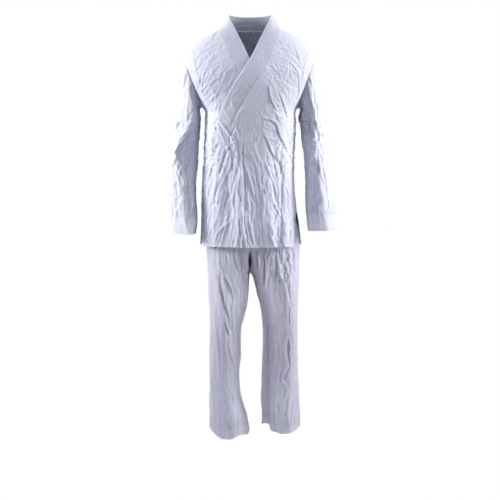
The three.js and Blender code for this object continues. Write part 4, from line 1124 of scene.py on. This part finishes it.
# Places of sewn rows and edges, from the lower edge or from a side edge
HEM_ROWS = (12 * MM, 19 * MM)
EDGE_ROW = 4 * MM
LAPEL_END_DOWN = 333 * MM
UNDER_LAPEL_DOWN = 426 * MM
UPPER_FRONT_DOWN = 0.8 * 471 * MM
BAND_ROWS = tuple(step * MM for step in (5, 12.5, 20.5, 28.5, 36.5, 44.5))
BAND_INSET = 3 * MM
CUFF_ROWS = {"left": (7 * MM, 58 * MM, 61.5 * MM, 65 * MM), "right": (7 * MM, 60 * MM, 63.5 * MM)}
TROUSER_HEM_ROWS = (24 * MM, 28 * MM, 32 * MM)

# How much whiter cloth is where it lies double, and how far the lining raises a front
HEM_WHITER = 0.3
LINING_WHITER = 0.45
LINING_SOFT = 2.5 * MM
LINING_RAISE = 0.7 * MM
LINING_THICKNESS = 0.9 * MM

# Depth and width of the grooves along sewn rows, and of the dips beside seams
ROW_GROOVE = (0.35 * MM, 1.3 * MM)
LINING_GROOVE = (0.5 * MM, 2.4 * MM)
BAND_GROOVE = (0.45 * MM, 1.6 * MM)
LAPEL_DIP = (1.0 * MM, 3 * MM)
SEAM_DIP = (1.0 * MM, 3.5 * MM)
ARMHOLE_DIP = (1.2 * MM, 3.5 * MM)
BAND_EDGE_DIP = (1.3 * MM, 2.2 * MM)

# Mesh distances down and across: in mesh steps, or in metres where they are given in MM
BACK_MESH = (1.2, 1.1)
COLLAR_MESH_DOWN = 1.35
COLLAR_MESH_ACROSS = 2.1 * MM
SLEEVE_MESH = 1.15
LINING_MESH = 5 * MM
LEG_MESH_DOWN = 0.9
LEG_MESH_FRONT = 0.7
LEG_MESH_BACK = 1.4
WAISTBAND_MESH = 4 * MM
ROW_POINTS = 160
EDGE_POINTS = 300

# The trouser legs' form is evened over a distance, but not near their ends
LEG_EVENING = 20 * MM
LEG_EVENING_MARGIN = 60 * MM
LEG_FOLD_FACTOR = 2.2


def along_row(surface, down, inset=0.0):
    """A stitch row at one distance down the cloth, that starts and ends so far from its sides."""
    across = np.linspace(inset, surface.across[-1] - inset, ROW_POINTS)
    return surface.at(np.full(len(across), down), across)


def along_edge(surface, across, first=0.0, last=None):
    """A stitch row at one distance across the cloth, between two distances down it."""
    down = np.linspace(first, surface.down[-1] if last is None else last, EDGE_POINTS)
    return surface.at(down, np.full(len(down), across))


def around(rows, half=1.6 * MM):
    """Extra mesh rows on both sides of each sewn row."""
    return tuple(value + side * half for value in rows for side in (-1, 0, 1))


def sewn_grooves(distances, rows, depth=ROW_GROOVE[0], width=ROW_GROOVE[1]):
    """How far the cloth is drawn down along sewn rows."""
    return sum((seam_dip(distances - row, depth, width) for row in rows), np.zeros_like(distances))


def crease_cloth(surface, folds, crumples, factor=1.0):
    """Presses the listed folds into a surface, and then its small creases."""
    settings = cloth_settings()
    surface.lift(creased(surface, folds, factor * settings.fold_strength))
    surface.lift(creased(surface, crumples, settings.crumple_strength))


def make_piece(node, label, surface, cloth, lines=(), thickness=None):
    """Makes a solid's cloth and stitches, and hides the solid they replace."""
    settings, kind = cloth_settings(), PIECES[node]
    piece = cloth_object(label.format("cloth"), surface, thickness or settings.cloth_thickness, cloth())
    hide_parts(node)
    if lines:
        stitches(label.format("stitches"), lines, settings, sewing_thread())


def front_panel(side):
    """A front, with its hem, its lapel's edge and the line where the lining behind it ends."""
    node, step = f"jacket_front_{side}", cloth_settings().mesh_step
    surface = Surface(node, (step, step), around(HEM_ROWS))
    crease_cloth(surface, JACKET_FOLDS, jacket_crumples())
    down, across = surface.distances()
    lapel = LAPEL_END_DOWN if side == "left" else UNDER_LAPEL_DOWN
    lining = lining_edge(surface, side)
    over_lining = down - np.interp(surface.across, lining[1], lining[0])
    surface.doubled = np.maximum(LINING_WHITER * smooth_step(over_lining, -LINING_SOFT, LINING_SOFT),
                                 HEM_WHITER * smooth_step(-down, -HEM_ROWS[1], -HEM_ROWS[0]))
    surface.lift(sewn_grooves(down, HEM_ROWS) + sewn_grooves(over_lining, (0,), *LINING_GROOVE)
                 + LINING_RAISE * surface.doubled)
    surface.lift(seam_dip(across, *LAPEL_DIP) * (down > lapel)
                 + seam_dip(surface.across[-1] - across, *SEAM_DIP))
    lines = [along_row(surface, row) for row in HEM_ROWS]
    lines.append(along_edge(surface, EDGE_ROW, 0.0, lapel))
    lines.append(along_edge(surface, surface.across[-1] - EDGE_ROW))
    lines.append(surface.at(*lining))
    make_piece(node, f"front_{{}}_{side}", surface, jacket_cotton, lines)


# The lining's lower edge as (across, up) in mm, and the height at which a front is read across
LINING_HEIGHT = -142 * MM
LINING_LINES = {
    "left": ((38, -142), (64, -141), (120, -143), (150, -152)),
    "right": ((-22, -142), (-60, -141), (-89, -143), (-117, -157)),
}


def lining_edge(surface, side):
    """Where the shoulder lining's lower edge runs on a front: distances down it and across it."""
    xs, zs = np.array(sorted(LINING_LINES[side])).T * MM
    upper = surface.down > UPPER_FRONT_DOWN
    found = []
    for col, across in enumerate(surface.across):
        points = surface.points[upper, col]
        order = np.argsort(points[:, 2])
        heights, downs = points[order, 2], surface.down[upper][order]
        x = np.interp(LINING_HEIGHT, heights, points[order, 0])
        if xs[0] <= x <= xs[-1] and across > 3 * MM:
            found.append((np.interp(np.interp(x, xs, zs), heights, downs), across))
    return np.array(found).T


def back_panel():
    """The back, with its hem and its side seams."""
    step = cloth_settings().plain_mesh_step
    surface = Surface("jacket_back", (BACK_MESH[0] * step, BACK_MESH[1] * step), around(HEM_ROWS))
    crease_cloth(surface, JACKET_FOLDS, jacket_crumples())
    down, across = surface.distances()
    edge = np.minimum(across, surface.across[-1] - across)
    surface.doubled = HEM_WHITER * smooth_step(-down, -HEM_ROWS[1], -HEM_ROWS[0])
    surface.lift(sewn_grooves(down, HEM_ROWS) + seam_dip(edge, *SEAM_DIP))
    lines = [along_row(surface, row) for row in HEM_ROWS]
    lines += [along_edge(surface, at) for at in (EDGE_ROW, surface.across[-1] - EDGE_ROW)]
    make_piece("jacket_back", "back_{}", surface, jacket_cotton, lines)


def collar_piece():
    """The collar band with both lapels, under its close rows of stitching."""
    settings = cloth_settings()
    surface = Surface("collar_band", (COLLAR_MESH_DOWN * settings.mesh_step, COLLAR_MESH_ACROSS),
                      extra_columns=around(BAND_ROWS, 1.2 * MM))
    crease_cloth(surface, COLLAR_FOLDS, collar_crumples())
    down, across = surface.distances()
    end = surface.down[-1]
    edge = np.minimum(np.minimum(across, surface.across[-1] - across), np.minimum(down, end - down))
    surface.lift(sewn_grooves(across, BAND_ROWS, *BAND_GROOVE) + seam_dip(edge, *BAND_EDGE_DIP))
    lines = [along_edge(surface, row, BAND_INSET, end - BAND_INSET) for row in BAND_ROWS]
    lines += [along_row(surface, at, BAND_INSET) for at in (EDGE_ROW, end - EDGE_ROW)]
    make_piece("collar_band", "collar_{}", surface, jacket_cotton, lines, settings.band_thickness)


def sleeve_piece(side):
    """A sleeve, with its deep cuff hem and its armhole seam."""
    node, rows = f"sleeve_{side}", CUFF_ROWS[side]
    step = SLEEVE_MESH * cloth_settings().mesh_step
    surface = Surface(node, (step, step), around(rows))
    crease_cloth(surface, SLEEVE_FOLDS[side], sleeve_crumples(side))
    down, end = surface.distances()[0], surface.down[-1]
    surface.doubled = HEM_WHITER * smooth_step(-down, -rows[-1], -rows[1])
    surface.lift(sewn_grooves(down, rows) + seam_dip(end - down, *ARMHOLE_DIP))
    lines = [along_row(surface, at) for at in (*rows, end - EDGE_ROW)]
    lines.append(along_edge(surface, EDGE_ROW))
    make_piece(node, f"sleeve_{{}}_{side}", surface, jacket_cotton, lines)


def shoulder_lining(side):
    """A shoulder lining, laid on the inside of a front."""
    node = f"shoulder_lining_{side}"
    surface = Surface(node, (LINING_MESH, LINING_MESH))
    make_piece(node, f"lining_{{}}_{side}", surface, jacket_cotton, thickness=LINING_THICKNESS)


# How far the trouser hem hangs lower, at places across the front, in mm: a folded step on the left leg
HEM_DROPS = {
    "left": ((40, -15), (66, -14), (71, 8), (108, 15), (140, 9), (170, 0)),
    "right": ((-135, 0), (-118, 8), (-97, 15), (-66, 8), (-40, -6), (-20, -6), (-10, 0)),
}
DROP_REACH = 120 * MM
ROW_ABOVE_HEM = -8


def drop_hem(surface, side):
    """Lowers and raises the trouser hem on the front as HEM_DROPS says, less and less up the leg."""
    places, drops = np.array(HEM_DROPS[side]).T * MM
    facing = smooth_step(-surface.normals()[ROW_ABOVE_HEM, :, 1], -0.2, 0.3)
    amount = np.interp(surface.points[-1, :, 0], places, drops) * facing
    near = smooth_step(surface.down, surface.down[-1] - DROP_REACH, surface.down[-1])
    surface.points[:, :, 2] -= near[:, None] * amount[None, :]


def trouser_leg(side):
    """A trouser leg with half the seat, and its uneven turned hem."""
    node, step = f"trouser_leg_{side}", cloth_settings().plain_mesh_step
    end = Surface(node, (step, step)).down[-1]
    surface = Surface(node, (LEG_MESH_DOWN * step, (LEG_MESH_FRONT * step, LEG_MESH_BACK * step)),
                      around([end - row for row in TROUSER_HEM_ROWS]))
    surface.soften(LEG_EVENING, LEG_EVENING_MARGIN)
    drop_hem(surface, side)
    crease_cloth(surface, LEG_FOLDS, leg_crumples(), LEG_FOLD_FACTOR)
    down = surface.distances()[0]
    surface.doubled = HEM_WHITER * smooth_step(down - end, -TROUSER_HEM_ROWS[2], -TROUSER_HEM_ROWS[0])
    surface.lift(sewn_grooves(end - down, TROUSER_HEM_ROWS))
    lines = [along_row(surface, end - row) for row in TROUSER_HEM_ROWS]
    lines.append(along_edge(surface, surface.across[-1] / 2 - EDGE_ROW))
    make_piece(node, f"leg_{{}}_{side}", surface, trouser_cotton, lines)


def waistband_piece():
    """The waistband, a gathered ring under the jacket."""
    surface = Surface("waistband", (WAISTBAND_MESH, WAISTBAND_MESH))
    lines = [along_row(surface, at) for at in (EDGE_ROW, surface.down[-1] - EDGE_ROW)]
    make_piece("waistband", "waistband_{}", surface, trouser_cotton, lines)


# Operators

SIDES = ("left", "right")
LIGHT_COLOUR = (0.93, 0.94, 1.0)
FLOOR_COLOUR = (0.55, 0.55, 0.58, 1)
FILL_COLOUR = (0.62, 0.635, 1.0, 1)
WHITE = (1, 1, 1, 1)

# What the lights point at, and the part of the leg lights' power that the right one has
CHEST = Vector((0, 0, -0.35))
LOW_RIGHT = Vector((-0.12, -0.1, -0.56))
LEGS = Vector((0, 0, -1.2))
RIGHT_LEG_PART = 0.35


class GI_OT_jacket_body(bpy.types.Operator):
    """Make the jacket's back and its two fronts, which cross over in the middle"""

    bl_idname = "gi.make_jacket_body"
    bl_label = "Jacket body"

    def execute(self, context):
        back_panel()
        for side in SIDES:
            front_panel(side)
        return {"FINISHED"}


class GI_OT_collar(bpy.types.Operator):
    """Make the quilted collar band with both lapels"""

    bl_idname = "gi.make_collar"
    bl_label = "Collar band"

    def execute(self, context):
        collar_piece()
        return {"FINISHED"}


class GI_OT_sleeves(bpy.types.Operator):
    """Make both sleeves with their turned cuffs"""

    bl_idname = "gi.make_sleeves"
    bl_label = "Sleeves"

    def execute(self, context):
        for side in SIDES:
            sleeve_piece(side)
        return {"FINISHED"}


class GI_OT_linings(bpy.types.Operator):
    """Make the two shoulder linings inside the jacket"""

    bl_idname = "gi.make_linings"
    bl_label = "Shoulder linings"

    def execute(self, context):
        for side in SIDES:
            shoulder_lining(side)
        return {"FINISHED"}


class GI_OT_trousers(bpy.types.Operator):
    """Make both trouser legs and the waistband"""

    bl_idname = "gi.make_trousers"
    bl_label = "Trousers"

    def execute(self, context):
        for side in SIDES:
            trouser_leg(side)
        waistband_piece()
        return {"FINISHED"}


class GI_OT_studio(bpy.types.Operator):
    """Set the pale floor, the soft lights and the camera"""

    bl_idname = "gi.make_studio"
    bl_label = "Studio"

    def execute(self, context):
        scene = context.scene
        studio = scene.gi_studio
        scene.view_settings.view_transform = "Standard"
        camera_data = bpy.data.cameras.new("camera")
        camera_data.lens = studio.lens
        camera = bpy.data.objects.new("camera", camera_data)
        camera.location = (0, -studio.distance, studio.camera_height)
        aim = Vector((0, 0, studio.aim_height)) - camera.location
        camera.rotation_euler = aim.to_track_quat("-Z", "Y").to_euler()
        scene.collection.objects.link(camera)
        scene.camera = camera
        pale_floor()
        white_room(scene, studio.fill)
        for name, place, aim_at, size, power, beam in (
                ("side_light_left", (2.0, -0.34, 0.1), CHEST, (0.5, 1.0), studio.side_power, 75),
                ("side_light_right", (-2.0, -0.34, 0.1), CHEST, (0.5, 1.0), studio.side_power, 75),
                ("chest_light_left", (1.9, -0.9, 0.3), CHEST, (0.6, 0.9), studio.chest_power, 75),
                ("chest_light_right", (-1.9, -0.9, 0.3), CHEST, (0.6, 0.9), studio.chest_power, 75),
                ("top_light", (0, -0.7, 2.0), CHEST, (2.4, 1.0), studio.top_power, 180),
                ("back_light", (-1.6, 2.0, 0.5), CHEST, (1.2, 1.2), studio.back_power, 120),
                ("hem_light_right", (-1.8, -1.3, -0.7), LOW_RIGHT, (0.4, 0.4), studio.hem_power, 30),
                ("leg_light_left", (2.0, -1.5, -1.1), LEGS, (0.6, 0.6), studio.leg_power, 60),
                ("leg_light_right", (-2.0, -1.3, -1.1), LEGS, (0.6, 0.6),
                 RIGHT_LEG_PART * studio.leg_power, 60)):
            soft_light(name, Vector(place), aim_at, size, power, beam)
        return {"FINISHED"}


def soft_light(name, place, aim, size, power, beam):
    """A large soft light that the camera doesn't see, with a beam so many degrees wide."""
    light = bpy.data.lights.new(name, "AREA")
    light.spread = math.radians(beam)
    light.color = LIGHT_COLOUR
    light.shape = "RECTANGLE"
    light.size, light.size_y = size
    light.energy = power
    lamp = bpy.data.objects.new(name, light)
    lamp.location = place
    lamp.rotation_euler = (aim - place).to_track_quat("-Z", "Y").to_euler()
    lamp.visible_camera = False
    bpy.context.scene.collection.objects.link(lamp)


def seen_or_lighting(tree, seen, lighting, output, at):
    """Links one shader to an output for the camera and another for all other rays."""
    path = shader_node(tree, "ShaderNodeLightPath", (at, 300))
    mix = shader_node(tree, "ShaderNodeMixShader", (at, 0))
    tree.links.new(path.outputs["Is Camera Ray"], mix.inputs["Fac"])
    tree.links.new(lighting.outputs[0], mix.inputs[1])
    tree.links.new(seen.outputs[0], mix.inputs[2])
    tree.links.new(mix.outputs["Shader"], output.inputs["Surface"])


def pale_floor():
    """A wide plain floor under the gi, white to the camera."""
    plane = bmesh.new()
    bmesh.ops.create_grid(plane, x_segments=1, y_segments=1, size=30.0)
    for point in plane.verts:
        point.co.z = FLOOR_Z
    mesh = bpy.data.meshes.new("floor")
    plane.to_mesh(mesh)
    plane.free()
    floor = bpy.data.objects.new("floor", mesh)
    bpy.context.scene.collection.objects.link(floor)
    material, tree, surface = new_material("floor_white", Base_Color=FLOOR_COLOUR, Roughness=0.9)
    glow = shader_node(tree, "ShaderNodeEmission", (0, -200), Strength=1.0)
    seen_or_lighting(tree, glow, surface, tree.nodes["Material Output"], 200)
    mesh.materials.append(material)


def white_room(scene, fill):
    """A white surrounding that lights the gi with a weak, cool fill."""
    world = bpy.data.worlds.new("white_room")
    scene.world = world
    world.use_nodes = True
    tree = world.node_tree
    tree.nodes.clear()
    output = shader_node(tree, "ShaderNodeOutputWorld", (600, 0))
    seen = shader_node(tree, "ShaderNodeBackground", (100, 100), Color=WHITE)
    lighting = shader_node(tree, "ShaderNodeBackground", (100, -100), Color=FILL_COLOUR, Strength=fill)
    seen_or_lighting(tree, seen, lighting, output, 350)


OPERATORS = (GI_OT_jacket_body, GI_OT_collar, GI_OT_sleeves, GI_OT_linings, GI_OT_trousers, GI_OT_studio)


class GI_PT_panel(bpy.types.Panel):
    """Lists the gi's settings and the steps that make it"""

    bl_idname = "GI_PT_panel"
    bl_label = "Martial arts gi"
    bl_space_type = "VIEW_3D"
    bl_region_type = "UI"
    bl_category = "Gi"

    def draw(self, context):
        layout = self.layout
        for group in (context.scene.gi_cloth, context.scene.gi_studio):
            box = layout.box()
            for name in group.__annotations__:
                box.prop(group, name)
        for operator in OPERATORS:
            layout.operator(operator.bl_idname)


CLASSES = (GI_PG_cloth, GI_PG_studio, *OPERATORS, GI_PT_panel)


def register():
    """Adds the classes, and their settings to the scene."""
    for kind in CLASSES:
        bpy.utils.register_class(kind)
    bpy.types.Scene.gi_cloth = bpy.props.PointerProperty(type=GI_PG_cloth)
    bpy.types.Scene.gi_studio = bpy.props.PointerProperty(type=GI_PG_studio)


def unregister():
    """Takes the settings and the classes out again."""
    del bpy.types.Scene.gi_studio
    del bpy.types.Scene.gi_cloth
    for kind in reversed(CLASSES):
        bpy.utils.unregister_class(kind)


def main():
    """Makes the gi and the studio."""
    register()
    bpy.ops.gi.make_jacket_body()
    bpy.ops.gi.make_collar()
    bpy.ops.gi.make_sleeves()
    bpy.ops.gi.make_linings()
    bpy.ops.gi.make_trousers()
    bpy.ops.gi.make_studio()


if __name__ == "__main__":
    main()
